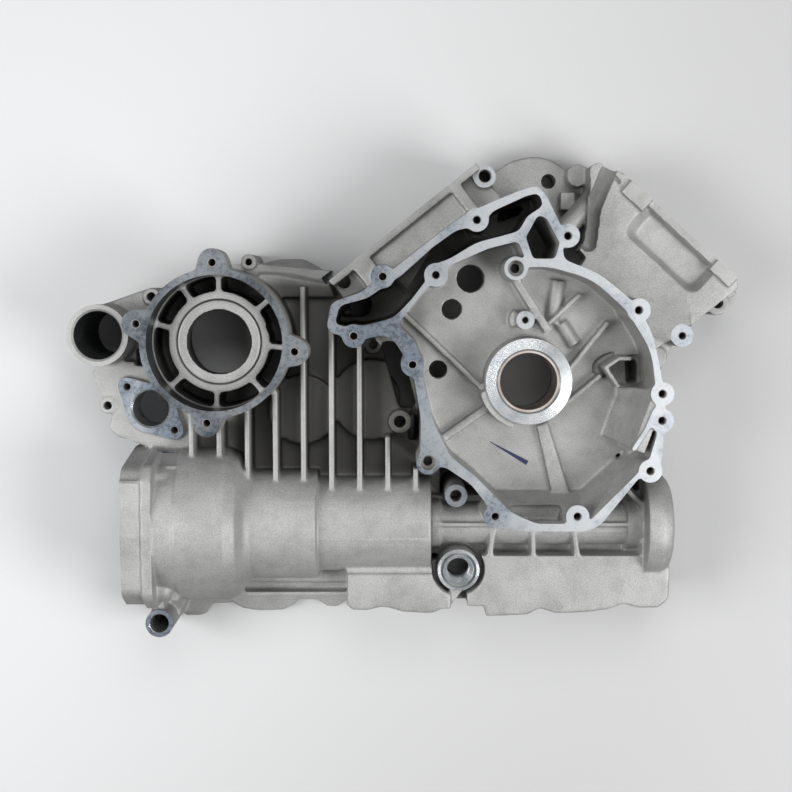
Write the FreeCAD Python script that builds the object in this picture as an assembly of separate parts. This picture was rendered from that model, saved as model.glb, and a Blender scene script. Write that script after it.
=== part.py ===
import FreeCAD, Part
import math
import os

# Crankcase half of a V-twin engine: one aluminium die casting and the plain bush of its main bearing.
# Millimetres. The origin is the crankshaft axis on the split plane. The split face lies down on z = 0,
# +Z is the crankshaft axis towards the magneto side, and +X runs along the shaft tunnel.

# Heights of the machined and cast faces over the split plane
COVER_FACE_Z = 105.0
CHAMBER_FLOOR_Z = 60.0
MAIN_BOSS_Z = 85.0
TOWER_FACE_Z = 100.0
TOWER_WEB_Z = 74.0
GEARBOX_TOP_Z = 40.0
GEARBOX_BUMP_Z = 48.0
FIN_TOP_Z = 71.0
LEFT_DECK_Z = 72.0
RIGHT_DECK_Z = 62.0
TOP_PLATE_Z = 24.0
SUMP_TOP_Z = 66.0
SUMP_FLOOR_Z = 46.0
LEFT_PLATE_Z = 50.0
PUMP_FLANGE_Z = 55.0
TUBE_FACE_Z = 80.0
PORT_FACE_Z = 69.0
SPLIT_FLANGE_Z = 10.0

# Walls of the casting
WALL = 6.0
FLOOR_WALL = 8.0
RIB_WIDTH = 3.5
LIP_WIDTH = 2.6

# Crankshaft bore and its bush
JOURNAL_D = 40.0
BUSH_WALL = 1.5
BUSH_LENGTH = 34.0
BUSH_RECESS = 1.5
BORE_CHAMFER = 1.0
MAIN_BOSS_R = 30.3
CRANK_CHAMBER_R = 70.0
CRANK_HUB_LENGTH = 22.0

# Cylinder decks: direction of each cylinder axis, distance of the deck from the crankshaft
LEFT_AXIS_DEG = 128.5
RIGHT_AXIS_DEG = 47.9
LEFT_DECK_DISTANCE = 141.5
RIGHT_DECK_DISTANCE = 153.0
SPIGOT_R = 49.0
SPIGOT_DEPTH = 60.0
DECK_STRIP = 5.0
DECK_GROOVE = 3.5
DECK_BLOCK = 3.2
STUD_HOLE_R = 4.3
STUD_DEPTH = 25.0
STUD_OFFSET = 52.0
STUD_Z = 30.0

# Screws
SCREW_HOLE_R = 2.6
SCREW_DEPTH = 22.0
SCREW_BOSS_R = 8.0
CASE_BOLT_R = 4.3
CASE_BOLT_DEPTH = 24.0
DOWEL_R = 5.2
DOWEL_DEPTH = 9.0

# Tower over the gearbox
TOWER_X = -216.4
TOWER_Y = 27.2
TOWER_BORE_R = 22.7
TOWER_SEAT_R = 29.3
TOWER_HUB_R = 36.0
TOWER_RING_IN_R = 46.6
TOWER_RING_OUT_R = 51.2
TOWER_LUG_R = 9.6
TOWER_LUG_CIRCLE_R = 55.0
TOWER_LUG_DEG = (91.0, 166.0, 264.0, 354.0)
TOWER_SPOKE_DEG = (40.0, 90.0, 124.0, 164.0, 222.0, 267.0, 311.0, 355.0)
TOWER_SPOKE_WIDTH = 3.8
TOWER_STEP = 1.2
TOWER_WINDOW_IN_R = 35.4
TOWER_WINDOW_OUT_R = 46.1
TOWER_WINDOW_CORNER_R = 2.6

# Inlet tube beside the tower
TUBE_X = -300.3
TUBE_Y = 32.0
TUBE_BORE_R = 17.0
TUBE_WALL = 4.5

# Pump flange on the left plate
PUMP_X = -268.6
PUMP_Y = -21.5
PUMP_BORE_R = 13.0
PUMP_EAR_SPAN = 23.0
PUMP_EAR_DEG = 137.0
PUMP_EAR_R = 8.0
PUMP_RIM_R = 17.5
PUMP_HUB_Z = 26.0

# Shaft tunnel along the foot of the case
TUNNEL_Y = -105.5
TUNNEL_Z = 50.0
BELL_R = 55.0
MID_R = 39.5
LONG_R = 34.0
THIN_R = 15.0
END_R = 36.0
TUNNEL_WALL = 7.0
SUMP_EDGE_Y = -129.0
SHAFT_CLEAR_R = 10.0
BELL_BORE_R = 48.0
SEAL_SEAT_R = 29.0
SEAL_SEAT_DEPTH = 16.0
FLANGE_FACE_X = -282.5
FLANGE_PLATE_X = -268.0
FLANGE_PLATE_END_X = -260.5
BELL_START_X = -246.0
BELL_END_X = -204.0
MID_START_X = -195.0
LONG_START_X = -148.5
THIN_START_X = -67.5
END_START_X = 73.5
END_FACE_X = 105.5
FLANGE_UPPER_HALF = 55.0
FLANGE_LOWER_HALF = 53.0
FLANGE_SHOULDER_Z = 41.0
FLANGE_LIP = 2.2
BELL_STEP = 1.2
FLANGE_DROP = 3.0
CHAMBER_CREST_Z = 73.0
CHAMBER_FOOT_Y = -85.0
FOOT_BOSS_Z = 80.0
CHAMBER_SLOT_Z = 74.0
STUD_DOME_R = 8.0
STUD_DOME_Z = 81.0
STUD_DOME_X = -257.5
FLANGE_SCOOP_X = -206.5

# Cooling fins across the gearbox wall: first place, pitch, and the two ends of each fin
FIN_FIRST_X = -237.6
FIN_PITCH = 19.9
FIN_WIDTH = 3.5
FIN_ENDS = (
    (-20.0, -55.0),
    (-32.0, -55.0),
    (-18.0, -70.0),
    (-8.0, -73.0),
    (66.0, -73.0),
    (36.0, -80.0),
    (26.0, -80.0),
    (-40.0, -80.0),
    (-63.0, -80.0),
)

# Raised bearing housings of the gearbox wall
BUMP_A_X = -159.7
BUMP_A_Y = -22.8
BUMP_A_R = 25.0
BUMP_B_X = -109.7
BUMP_B_Y = -15.6
BUMP_B_R = 29.0
HUB_RECESS = 8.0
TOWER_BEARING_DEPTH = 58.0
TOWER_WINDOW_FLOOR_Z = 44.0
TOWER_LUG_HEIGHT = 26.0

# Smaller features
HUMP_FOOT_Z = 16.0
HUMP_CREST_Z = 46.0
RIGHT_WALL_Z = 30.0
LEFT_DECK_HALF_WIDTH = 65.5
LEFT_PANEL_END = 33.0
LEFT_STUD_BOSS_Z = 48.0
RIGHT_POCKET_DEPTH = 9.0
TUNNEL_FLOOR_Z = 55.0
LUG_X = -263.5
LUG_Y = -177.0
LUG_R = 10.0
LUG_BORE_R = 6.8
LUG_TOP_Z = 62.0
RIGHT_LUG = (143.4, 53.8)
RIGHT_BOSS = (110.9, 31.0)
CHAMBER_BOSS = (-2.4, 42.6)
TUBE_BOSS = (-267.4, 58.5)
HUMP_BOSS = (-197.9, 83.4)
PLATE_BOSS = (-300.4, -19.7)
WALL_BOSS_A = (-108.8, 24.2)
WALL_BOSS_B = (-89.5, -31.1)
SUMP_BOSS = (-49.7, -82.1)
PORT_X = -47.7
PORT_Y = -136.3
PORT_RING_R = 15.0
PORT_RECESS_R = 19.0
PORT_THREAD_R = 8.4

# Wells at the two ends of the chain tunnel, open to the split plane
TUNNEL_WELLS = (
    ((-133, 44, 3), (-112, 45, 5), (-108, 60, 5), (-128, 52, 5)),
    ((-22, 111, 3), (-6, 116, 3), (1, 124, 3), (-18, 119, 3)),
)
# Straight-sided cavities open to the split plane (x0, x1, y0, y1, height)
LOWER_BOXES = (
    (-121.0, -68.0, -162.0, -145.0, 59.0),
    (-24.0, 96.0, -163.0, -134.0, 59.0),
    (-68.0, -24.0, -160.0, -134.0, 24.0),
    (-60.0, 68.0, -124.0, -90.0, 34.0),
    (-142.0, -74.0, -136.0, -76.0, 16.0),
    (-190.0, -150.0, -136.0, -76.0, 11.0),
    (-196.0, -126.0, -156.0, -142.0, 28.0),
    (-254.0, -202.0, -153.0, -140.0, 14.0),
    (-254.0, -202.0, -72.0, -60.0, 14.0),
    (77.0, 97.0, -134.0, -78.0, 13.0),
)
# Cavities with slanting sides, open to the split plane: corners and height
LOWER_POCKETS = (
    (((-14, 139, 0), (8, 150, 0), (30, 139, 0), (12, 108, 0), (2, 108, 0)), 16.0),
    (((-300, -10, 0), (-291, -35, 0), (-252, -44, 0), (-246, 4, 0), (-303, 4, 0)), 43.0),
    (((56, -60, 0), (78, -38, 0), (82, -54, 0), (48, -88, 0), (34, -94, 0), (-4, -94, 0), (-18, -86, 0),
      (0, -78, 0), (34, -70, 0)), 50.0),
)
# Straight ribs (x0, y0, x1, y1, width) of the sump deck
SUMP_RIBS = (
    (-21.5, -100.0, -25.4, -129.0, 3.8),
    (5.4, -100.0, 6.3, -129.0, 3.2),
    (34.0, -100.0, 38.2, -129.0, 3.8),
    (72.6, -79.0, 84.6, -91.0, 3.8),
    (85.2, -90.0, 86.0, -129.0, 4.6),
)
# Ribs of the magneto chamber floor (x0, y0, x1, y1, width, height)
CHAMBER_RIBS = (
    (-85.0, 45.2, -27.0, -10.0, 3.6, 7.0),
    (-9.5, 72.5, 14.5, 34.5, 5.4, 14.0),
    (13.0, 37.6, 37.5, 60.5, 3.0, 8.0),
    (24.0, 0.0, 57.3, 41.0, 3.0, 9.0),
    (26.0, -18.5, 52.7, 3.5, 3.0, 9.0),
    (-60.5, -43.2, -26.0, -19.0, 5.6, 6.0),
)
# Bulges of the chamber floor (x, y, radius, half length, heading)
CHAMBER_BULGES = (
    (20.3, 54.8, 5.2, 15.5, 8.0),
    (29.5, 32.4, 4.8, 9.0, -33.0),
)
L_RIB = ((72.1, 15.7), (63.3, 15.7), (53.9, 9.4), (62.8, -3.3))
LEFT_DECK_RIBS = (
    (139.0, -43.5, 1.6, 54.0, 71.0),
    (139.0, 43.5, 1.6, 54.0, 71.0),
)
GEARBOX_RIBS = (
    (-216.4, -6.0, -216.4, -66.0), (-190.0, 5.0, -172.0, -10.0), (-140.0, -20.0, -132.0, -18.0),
    (-160.0, 0.0, -160.0, 72.0), (-159.7, -44.0, -159.7, -66.0), (-120.0, 8.0, -130.0, 60.0),
    (-112.0, -42.0, -112.0, -66.0), (-253.0, 10.0, -262.0, -8.0),
)
CASE_BOLTS = (
    (-258.0, 52.0), (-197.0, 72.0), (-146.0, 66.0), (-88.0, 40.0), (-84.0, -70.0), (-208.0, -72.0),
    (-250.0, -50.0), (-62.0, -160.0), (10.0, -160.0), (94.0, -156.0), (94.0, -60.0), (98.0, 14.0),
)
# Plain holes (x, y, radius, low, high)
PLAIN_HOLES = (
    (-39.6, 71.5, 9.8, -1.0, 62.0), (-52.8, 49.8, 7.1, -1.0, 62.0), (-62.4, 7.0, 6.4, -1.0, 62.0),
    (*CHAMBER_BOSS, 2.2, 66.0, 90.0), (*TUBE_BOSS, 3.4, 30.0, 60.0), (*HUMP_BOSS, 2.6, 30.0, 60.0),
    (*PLATE_BOSS, 3.1, 30.0, 60.0), (*WALL_BOSS_A, 3.2, 48.0, 60.0), (*WALL_BOSS_B, 4.4, 36.0, 60.0),
    (*SUMP_BOSS, 4.1, 50.0, 80.0), (19.1, 142.5, 5.4, -1.0, 30.0), (-29.9, 143.1, 4.3, 30.0, 80.0),
    (-129.1, 69.2, 4.5, 44.0, 60.0), (*RIGHT_LUG, 4.0, -1.0, 40.0), (*RIGHT_BOSS, 2.4, 40.0, 70.0),
)

# Outlines: corners (x, y, corner radius) in order
COVER_OUTLINE = [
    (-139.5, 36, 6), (-136.5, 55, 8), (-117, 61.5, 12), (-93, 78.5, 20), (-62, 102.5, 40),
    (-44, 115.5, 20), (-12, 129, 30), (2.5, 133.5, 6), (9, 126, 6), (18, 108, 8),
    (21, 84, 6), (45, 74.5, 60), (66, 57.5, 30), (81, 37, 60), (87.5, 8, 60),
    (91, -20, 20), (89.5, -48, 30), (86.5, -63, 8), (74, -64, 8), (44.5, -101.5, 22),
    (-4, -101.5, 20), (-25, -98.5, 8), (-30, -83, 10), (-41, -69, 20), (-58, -57.5, 10),
    (-76, -55, 8), (-75, -25, 60), (-80, 3, 15), (-87, 20, 10), (-97, 34, 12), (-120, 29, 14),
]
CHAMBER_OUTLINE = [
    (-10, 96.5, 4), (-30, 91.5, 30), (-56, 80, 20), (-75, 61, 20), (-91.5, 40, 5),
    (-78, 27, 15), (-73, 0, 60), (-67, -26, 40), (-55, -50, 20), (-38, -63.5, 20),
    (-14, -88, 20), (4, -96.2, 16), (38.5, -96.2, 8), (80, -54, 10), (85.5, -35, 8),
    (83.8, 0, 60), (81, 22, 50), (64, 49.5, 40), (40, 71, 50), (12, 79, 40), (-3, 79, 3),
]
TUNNEL_OUTLINE = [
    (-134, 40.5, 4), (-130.5, 53, 6), (-112, 58, 20), (-88, 74, 30), (-68, 92, 30),
    (-50, 105, 20), (-35, 105, 6), (-28, 116, 12), (-5, 126.5, 10), (3.5, 128.5, 4),
    (6.8, 120, 4), (-4, 113, 10), (-9.5, 103, 8), (-22, 99.5, 12), (-38, 95.5, 40),
    (-56, 84.5, 40), (-69, 80, 6), (-72, 70, 8), (-82, 57, 20), (-94, 44.5, 20),
    (-112, 40, 20), (-127, 39, 10),
]
PENTAGON_OUTLINE = [
    (3.5, 114.5, 4), (9.5, 111, 4), (18, 95, 3), (15, 84.5, 3), (0, 84.5, 3), (-5, 99, 3),
]
GEARBOX_OUTLINE = [
    (-262, 58, 12), (-230, 82, 20), (-190, 82, 6), (-137, 77, 6), (-100, 40, 10), (-60, 40, 5),
    (-60, -100, 5), (-262, -100, 5), (-262, -52, 10), (-284, -47, 8), (-300, -38, 8),
    (-297, -28, 5), (-304, -14, 6), (-312, 4, 6), (-306, 30, 10),
]
GEARBOX_CAVITY = [
    (-256, 52, 12), (-228, 74, 20), (-192, 74, 8), (-141, 70, 8), (-104, 34, 10), (-84, 24, 10),
    (-78, 0, 20), (-79, -66, 8), (-250, -66, 8), (-254, -46, 10), (-288, -38, 8),
    (-296, -10, 8), (-302, 8, 8), (-270, 20, 10),
]
TOP_PLATE_OUTLINE = [
    (-36, 118, 5), (-32, 140, 5), (-21, 149, 8), (-8, 157.5, 30), (9.8, 161, 30), (24, 157, 20),
    (36, 147, 8), (46, 140, 5), (44, 96, 5), (10, 90, 5),
]
SUMP_LEFT_OUTLINE = [
    (-127.2, -133.8, 3), (-60.3, -133.8, 3), (-52.8, -148.2, 3), (-52.8, -165.3, 1), (-59.3, -165.5, 3),
    (-67.2, -168.5, 4), (-87, -167.5, 6), (-97, -164.5, 6), (-103.9, -164, 6), (-113.3, -166.4, 6),
    (-124.2, -166, 3), (-127.7, -162, 3),
]
SUMP_RIGHT_OUTLINE = [
    (-36.5, -126.4, 3), (101.3, -126.4, 3), (104.1, -135.3, 6), (103.8, -158.1, 8), (96.4, -164.5, 8),
    (81.5, -164.5, 6), (71.1, -161.4, 6), (60.7, -165.5, 10), (43.8, -167.8, 10), (23, -168.5, 6),
    (11.1, -164.8, 5), (2.2, -169.5, 5), (-27.6, -170.8, 1.5), (-29, -163.4, 1), (-41.1, -163.4, 1),
    (-41.1, -148.2, 3),
]
RIGHT_BODY_OUTLINE = [
    (70, -34, 0), (100, -34, 10), (112, -42, 10), (130, -58, 10), (141, -68, 3), (147.5, -65, 3),
    (153, -47, 4), (153, 63, 4), (149, 68, 4), (122, 63.5, 20), (107, 61.5, 20), (85, 56, 0),
    (70, 52, 0),
]

# Cover screws, and the two dowel holes of the cover face
COVER_SCREWS = [
    (-101.4, 72.6), (-37.9, 110.6), (-65.4, 73.7), (-121.0, 32.4), (-81.1, 12.9), (23.5, 99.9),
    (72.0, 49.9), (88.9, -6.9), (89.0, -25.2), (81.5, -59.8), (32.1, -91.3), (-24.3, -91.3),
]
COVER_DOWELS = [(-70.4, -54.2), (-11.4, 78.1)]


def vec(x, y, z=0.0):
    return FreeCAD.Vector(x, y, z)


def corner_arc(before, corner, after, radius):
    """Ends and middle of the arc that rounds one corner, its radius limited by the runs beside it."""
    back = before - corner
    ahead = after - corner
    half = back.getAngle(ahead) / 2.0
    reach = radius / math.tan(half)
    limit = 0.48 * min(back.Length, ahead.Length)
    reach = min(reach, limit)
    radius = reach * math.tan(half)
    back.normalize()
    ahead.normalize()
    bisector = back + ahead
    bisector.normalize()
    centre = corner + bisector * (radius / math.sin(half))
    middle = centre - bisector * radius
    return corner + back * reach, middle, corner + ahead * reach


def outline(corners, z=0.0):
    """Closed wire of straight runs and tangent arcs through corners (x, y, radius)."""
    points = [vec(x, y, z) for x, y, radius in corners]
    count = len(corners)
    arcs = []
    for i in range(count):
        radius = corners[i][2]
        before = points[i - 1]
        after = points[(i + 1) % count]
        turn = math.pi - (before - points[i]).getAngle(after - points[i])
        if radius <= 0 or turn < 0.02:
            arcs.append((points[i], None, points[i]))
        else:
            arcs.append(corner_arc(before, points[i], after, radius))
    edges = []
    for i in range(count):
        start, middle, end = arcs[i]
        if middle is not None:
            edges.append(Part.Arc(start, middle, end).toShape())
        following = arcs[(i + 1) % count][0]
        if end.distanceToPoint(following) > 1e-4:
            edges.append(Part.LineSegment(end, following).toShape())
    return Part.Wire(edges)


def prism(corners, low, high):
    return Part.Face(outline(corners, low)).extrude(vec(0, 0, high - low))


def disc(x, y, radius, low, high):
    return Part.makeCylinder(radius, high - low, vec(x, y, low))


def ring(x, y, outer, inner, low, high):
    return disc(x, y, outer, low, high).cut(disc(x, y, inner, low - 1, high + 1))


def bar(x0, y0, x1, y1, width, low, high):
    """Straight wall between two points."""
    run = vec(x1 - x0, y1 - y0)
    side = vec(-run.y, run.x)
    side.normalize()
    side = side * (width / 2.0)
    corners = [
        (x0 + side.x, y0 + side.y, 0), (x1 + side.x, y1 + side.y, 0),
        (x1 - side.x, y1 - side.y, 0), (x0 - side.x, y0 - side.y, 0),
    ]
    return prism(corners, low, high)


def lug(x0, y0, r0, x1, y1, r1, low, high):
    """Plate of two discs joined by their common tangents."""
    run = vec(x1 - x0, y1 - y0)
    heading = math.atan2(run.y, run.x)
    spread = math.acos((r0 - r1) / run.Length)
    corners = []
    for sign, x, y, r in ((1, x0, y0, r0), (1, x1, y1, r1), (-1, x1, y1, r1), (-1, x0, y0, r0)):
        angle = heading + sign * spread
        corners.append((x + r * math.cos(angle), y + r * math.sin(angle), 0))
    web = prism(corners, low, high)
    return web.fuse([disc(x0, y0, r0, low, high), disc(x1, y1, r1, low, high)])


def along_x(y, z, radius, start, end):
    return Part.makeCylinder(radius, end - start, vec(start, y, z), vec(1, 0, 0))


def turned(profile, y, z):
    """Solid of revolution about a line along X: profile points are (x, radius)."""
    points = [vec(x, y, z + radius) for x, radius in profile]
    points.append(vec(profile[-1][0], y, z))
    points.append(vec(profile[0][0], y, z))
    points.append(points[0])
    face = Part.Face(Part.makePolygon(points))
    return face.revolve(vec(0, y, z), vec(1, 0, 0), 360)


def box(x0, x1, y0, y1, z0, z1):
    return Part.makeBox(x1 - x0, y1 - y0, z1 - z0, vec(x0, y0, z0))


def channel(points, radius, low):
    """Round-bottomed open channel along a line of points, its bottom arc centred at the height low."""
    parts = []
    for (x0, y0), (x1, y1) in zip(points, points[1:]):
        run = vec(x1 - x0, y1 - y0)
        parts.append(Part.makeCylinder(radius, run.Length, vec(x0, y0, low), run))
        parts.append(bar(x0, y0, x1, y1, 2 * radius, low, low + 40))
    for x, y in points:
        parts.append(Part.makeSphere(radius, vec(x, y, low)))
        parts.append(disc(x, y, radius, low, low + 40))
    return parts


def cylinder_frame(shape, degrees):
    """Turn a shape drawn with the cylinder axis along +X to its place round the crankshaft."""
    shape.rotate(vec(0, 0, 0), vec(0, 0, 1), degrees)
    return shape


def mirrored(corners):
    """Corners (n, t) of a deck outline, t to the right of the cylinder axis."""
    return [(n, -t, radius) for n, t, radius in corners]


def magneto_housing():
    """Tall housing of the cover face with a boss at each screw and dowel."""
    parts = [prism(COVER_OUTLINE, 0, COVER_FACE_Z)]
    for x, y in COVER_SCREWS + COVER_DOWELS:
        parts.append(disc(x, y, SCREW_BOSS_R, CHAMBER_FLOOR_Z - FLOOR_WALL, COVER_FACE_Z))
    return parts


def gearbox_walls():
    parts = [prism(GEARBOX_OUTLINE, 0, GEARBOX_TOP_Z)]
    plate = [
        (-240, 12, 5), (-306, 12, 5), (-311.5, 4, 4), (-305, -12, 5), (-297, -27, 4),
        (-300.5, -36, 5), (-294, -42.5, 6), (-262, -53, 5), (-240, -53, 5),
    ]
    parts.append(prism(plate, 0, LEFT_PLATE_Z))
    parts.append(disc(*PLATE_BOSS, 6.0, 0, LEFT_PLATE_Z + 1.0))
    parts.append(disc(BUMP_A_X, BUMP_A_Y, BUMP_A_R, 0, GEARBOX_BUMP_Z))
    parts.append(disc(BUMP_B_X, BUMP_B_Y, BUMP_B_R, 0, GEARBOX_BUMP_Z))
    return parts + hump_wall()


def hump_wall():
    """Cover of the shift gate along the upper edge, rounded over towards the split flange."""
    low = [
        (-192, 60, 0), (-192, 83, 3), (-178, 86, 6), (-161, 86.3, 8), (-150, 80, 8),
        (-140, 74, 4), (-136, 60, 0),
    ]
    high = [
        (-192, 58, 0), (-192, 75, 3), (-178, 74, 6), (-161, 71, 8), (-150, 69, 8),
        (-140, 68, 4), (-136, 58, 0),
    ]
    foot = outline(low, HUMP_FOOT_Z)
    crest = outline(high, HUMP_CREST_Z)
    return [prism(low, 0, HUMP_FOOT_Z), Part.makeLoft([foot, crest], True, True)]


def crank_case():
    """Barrel wall round the crank webs, and the side wall of the lower right."""
    right_wall = [
        (60, 60, 0), (112, 38, 10), (112, 24, 5), (105, 15, 8), (100, -10, 30), (99, -40, 20),
        (84, -75, 10), (50, -100, 10), (40, -60, 0),
    ]
    return [
        disc(0, 0, CRANK_CHAMBER_R + WALL, 0, CHAMBER_FLOOR_Z - FLOOR_WALL),
        prism(right_wall, 0, RIGHT_WALL_Z),
    ]


def left_cylinder_body():
    """Half of the rear cylinder base: stud columns at the ends and a sunk panel between them."""
    half = LEFT_DECK_HALF_WIDTH
    deck = LEFT_DECK_DISTANCE
    body = box(70, deck, -half, half, 0, LEFT_DECK_Z)
    panel = box(110, deck - DECK_STRIP, -40, LEFT_PANEL_END, LEFT_DECK_Z - 6, LEFT_DECK_Z + 1)
    flank_a = box(110, deck - DECK_STRIP, 47, half + 1, LEFT_DECK_Z - 16, LEFT_DECK_Z + 1)
    flank_b = box(110, deck - DECK_STRIP, -half - 1, -48, LEFT_DECK_Z - 12, LEFT_DECK_Z + 1)
    body = body.cut([panel, flank_a, flank_b])
    studs = [
        disc(deck - SCREW_BOSS_R, 58.0, SCREW_BOSS_R, 0, LEFT_STUD_BOSS_Z),
        disc(130.5, -65.0, SCREW_BOSS_R, 0, LEFT_STUD_BOSS_Z + 16),
    ]
    return [cylinder_frame(shape, LEFT_AXIS_DEG) for shape in [body] + studs]


def right_cylinder_body():
    """Half of the front cylinder base, with a drafted pocket beside its deck strip."""
    body = prism(mirrored(RIGHT_BODY_OUTLINE), 0, RIGHT_DECK_Z)
    mouth = [
        (RIGHT_DECK_DISTANCE - DECK_STRIP - 1, -21, 1), (RIGHT_DECK_DISTANCE - DECK_STRIP - 1, 48.5, 1),
        (122.5, 48.5, 8), (122.5, -21, 8),
    ]
    floor = [
        (RIGHT_DECK_DISTANCE - DECK_STRIP - 1, -12, 1), (RIGHT_DECK_DISTANCE - DECK_STRIP - 1, 43, 1),
        (127.5, 43, 5), (127.5, -12, 5),
    ]
    rim = outline(mirrored(mouth), RIGHT_DECK_Z + 0.5)
    base = outline(mirrored(floor), RIGHT_DECK_Z - RIGHT_POCKET_DEPTH)
    body = body.cut(Part.makeLoft([base, rim], True, True))
    strip = RIGHT_DECK_DISTANCE - DECK_STRIP
    body = body.cut(box(strip - 2.4, strip, -43, 52, RIGHT_DECK_Z - DECK_GROOVE, RIGHT_DECK_Z + 1))
    column = Part.makeCylinder(7.5, 60, vec(88, 50, RIGHT_DECK_Z - 20), vec(1, 0, 0))
    block_a = box(strip - 6, RIGHT_DECK_DISTANCE, 19.5, 40, RIGHT_DECK_Z - 6, RIGHT_DECK_Z + DECK_BLOCK)
    block_b = box(strip - 4, RIGHT_DECK_DISTANCE, -62, -43, RIGHT_DECK_Z - 6, RIGHT_DECK_Z + DECK_BLOCK)
    parts = [body, column, block_a, block_b]
    return [cylinder_frame(shape, RIGHT_AXIS_DEG) for shape in parts]


def top_plate():
    parts = [prism(TOP_PLATE_OUTLINE, 0, TOP_PLATE_Z)]
    parts.append(disc(38.5, 145.5, 8.0, 0, 40.0))
    parts.append(box(26.5, 37.0, 121.0, 133.5, 0, 36.0))
    return parts


def tower():
    """Round housing with lugs that carries the cover over the gearbox shaft."""
    parts = [disc(TOWER_X, TOWER_Y, TOWER_RING_OUT_R, 0, TOWER_FACE_Z)]
    for degrees in TOWER_LUG_DEG:
        x, y = tower_lug_place(degrees)
        parts.append(lug(x, y, TOWER_LUG_R, TOWER_X + (x - TOWER_X) * 0.8,
                         TOWER_Y + (y - TOWER_Y) * 0.8, TOWER_LUG_R + 3.0,
                         TOWER_FACE_Z - TOWER_LUG_HEIGHT, TOWER_FACE_Z))
    return parts


def tower_lug_place(degrees):
    angle = math.radians(degrees)
    return (TOWER_X + TOWER_LUG_CIRCLE_R * math.cos(angle),
            TOWER_Y + TOWER_LUG_CIRCLE_R * math.sin(angle))


def tower_cavities():
    """Bearing seat, shaft bore, and the ring of windows between the spokes."""
    cuts = [disc(TOWER_X, TOWER_Y, TOWER_RING_IN_R, TOWER_WEB_Z, TOWER_FACE_Z + 1)]
    cuts.append(disc(TOWER_X, TOWER_Y, TOWER_BORE_R, -1, TOWER_FACE_Z))
    cuts.append(disc(TOWER_X, TOWER_Y, TOWER_SEAT_R, TOWER_WEB_Z - TOWER_STEP, TOWER_WEB_Z + 1))
    annulus = ring(TOWER_X, TOWER_Y, TOWER_WINDOW_OUT_R, TOWER_WINDOW_IN_R, TOWER_WINDOW_FLOOR_Z,
                   TOWER_WEB_Z + 1)
    spokes = []
    for degrees in TOWER_SPOKE_DEG:
        angle = math.radians(degrees)
        spokes.append(bar(TOWER_X + 25 * math.cos(angle), TOWER_Y + 25 * math.sin(angle),
                          TOWER_X + 50 * math.cos(angle), TOWER_Y + 50 * math.sin(angle),
                          TOWER_SPOKE_WIDTH, TOWER_WINDOW_FLOOR_Z - 1, TOWER_WEB_Z + 2))
    for window in annulus.cut(spokes).Solids:
        upright = [edge for edge in window.Edges if abs(edge.tangentAt(edge.FirstParameter).z) > 0.9]
        cuts.append(window.makeFillet(TOWER_WINDOW_CORNER_R, upright))
    return cuts


def inlet_tube():
    outer = TUBE_BORE_R + TUBE_WALL
    parts = [disc(TUBE_X, TUBE_Y, outer, 0, TUBE_FACE_Z)]
    parts.append(lug(TUBE_X + 4, TUBE_Y + 4, outer - 3, *TUBE_BOSS, 6.5, 0, 48.0))
    parts.append(disc(*TUBE_BOSS, 6.2, 0, 52.0))
    return parts


def pump_flange():
    """Two-eared flange round the pump bore on the left plate."""
    parts = [disc(PUMP_X, PUMP_Y, PUMP_RIM_R, 0, PUMP_FLANGE_Z)]
    for x, y in pump_ears():
        parts.append(lug(PUMP_X, PUMP_Y, PUMP_RIM_R, x, y, PUMP_EAR_R - 1.5, 0, PUMP_FLANGE_Z))
    return parts


def pump_ears():
    angle = math.radians(PUMP_EAR_DEG)
    dx = PUMP_EAR_SPAN * math.cos(angle)
    dy = PUMP_EAR_SPAN * math.sin(angle)
    return [(PUMP_X + dx, PUMP_Y + dy), (PUMP_X - dx, PUMP_Y - dy)]


def shaft_tunnel():
    """Stepped tunnel of the drive shaft, its sides carried straight down to the split plane."""
    profile = [
        (FLANGE_PLATE_X, BELL_R - BELL_STEP), (BELL_START_X, BELL_R - BELL_STEP), (BELL_START_X, BELL_R),
        (BELL_END_X - 8, BELL_R), (BELL_END_X, BELL_R - 4), (BELL_END_X + 5, BELL_R - 13),
        (MID_START_X, MID_R), (LONG_START_X, MID_R), (LONG_START_X, LONG_R), (THIN_START_X, LONG_R),
    ]
    parts = [turned(profile, TUNNEL_Y, TUNNEL_Z)]
    spans = (
        (FLANGE_PLATE_X, BELL_END_X - 6, BELL_R - 2.0),
        (BELL_END_X - 6, LONG_START_X, MID_R - 1.0),
        (LONG_START_X, THIN_START_X, LONG_R - 1.0),
        (END_START_X, END_FACE_X - 4, END_R - 1.5),
    )
    for start, end, half in spans:
        parts.append(box(start, end, TUNNEL_Y - half, TUNNEL_Y + half, 0, TUNNEL_Z))
    parts.append(along_x(TUNNEL_Y, TUNNEL_Z, THIN_R, THIN_START_X - 1, END_START_X + 1))
    parts.append(along_x(TUNNEL_Y, TUNNEL_Z, THIN_R + 2.5, THIN_START_X - 1, THIN_START_X + 7.5))
    parts.append(along_x(TUNNEL_Y, TUNNEL_Z, THIN_R + 3.0, END_START_X, END_START_X + 10))
    parts.append(box(THIN_START_X, END_START_X, SUMP_EDGE_Y, TUNNEL_Y + THIN_R + 5, 0, SUMP_FLOOR_Z))
    parts.append(box(THIN_START_X, END_START_X + 2, TUNNEL_Y + 0.4, TUNNEL_Y + 3.4, TUNNEL_Z,
                     TUNNEL_Z + THIN_R + 3.0))
    end = [
        (END_START_X + 12, END_R), (END_FACE_X - 9, END_R), (END_FACE_X - 3, END_R - 3),
        (END_FACE_X, END_R - 9),
    ]
    parts.append(turned(end, TUNNEL_Y, TUNNEL_Z))
    return parts


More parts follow.
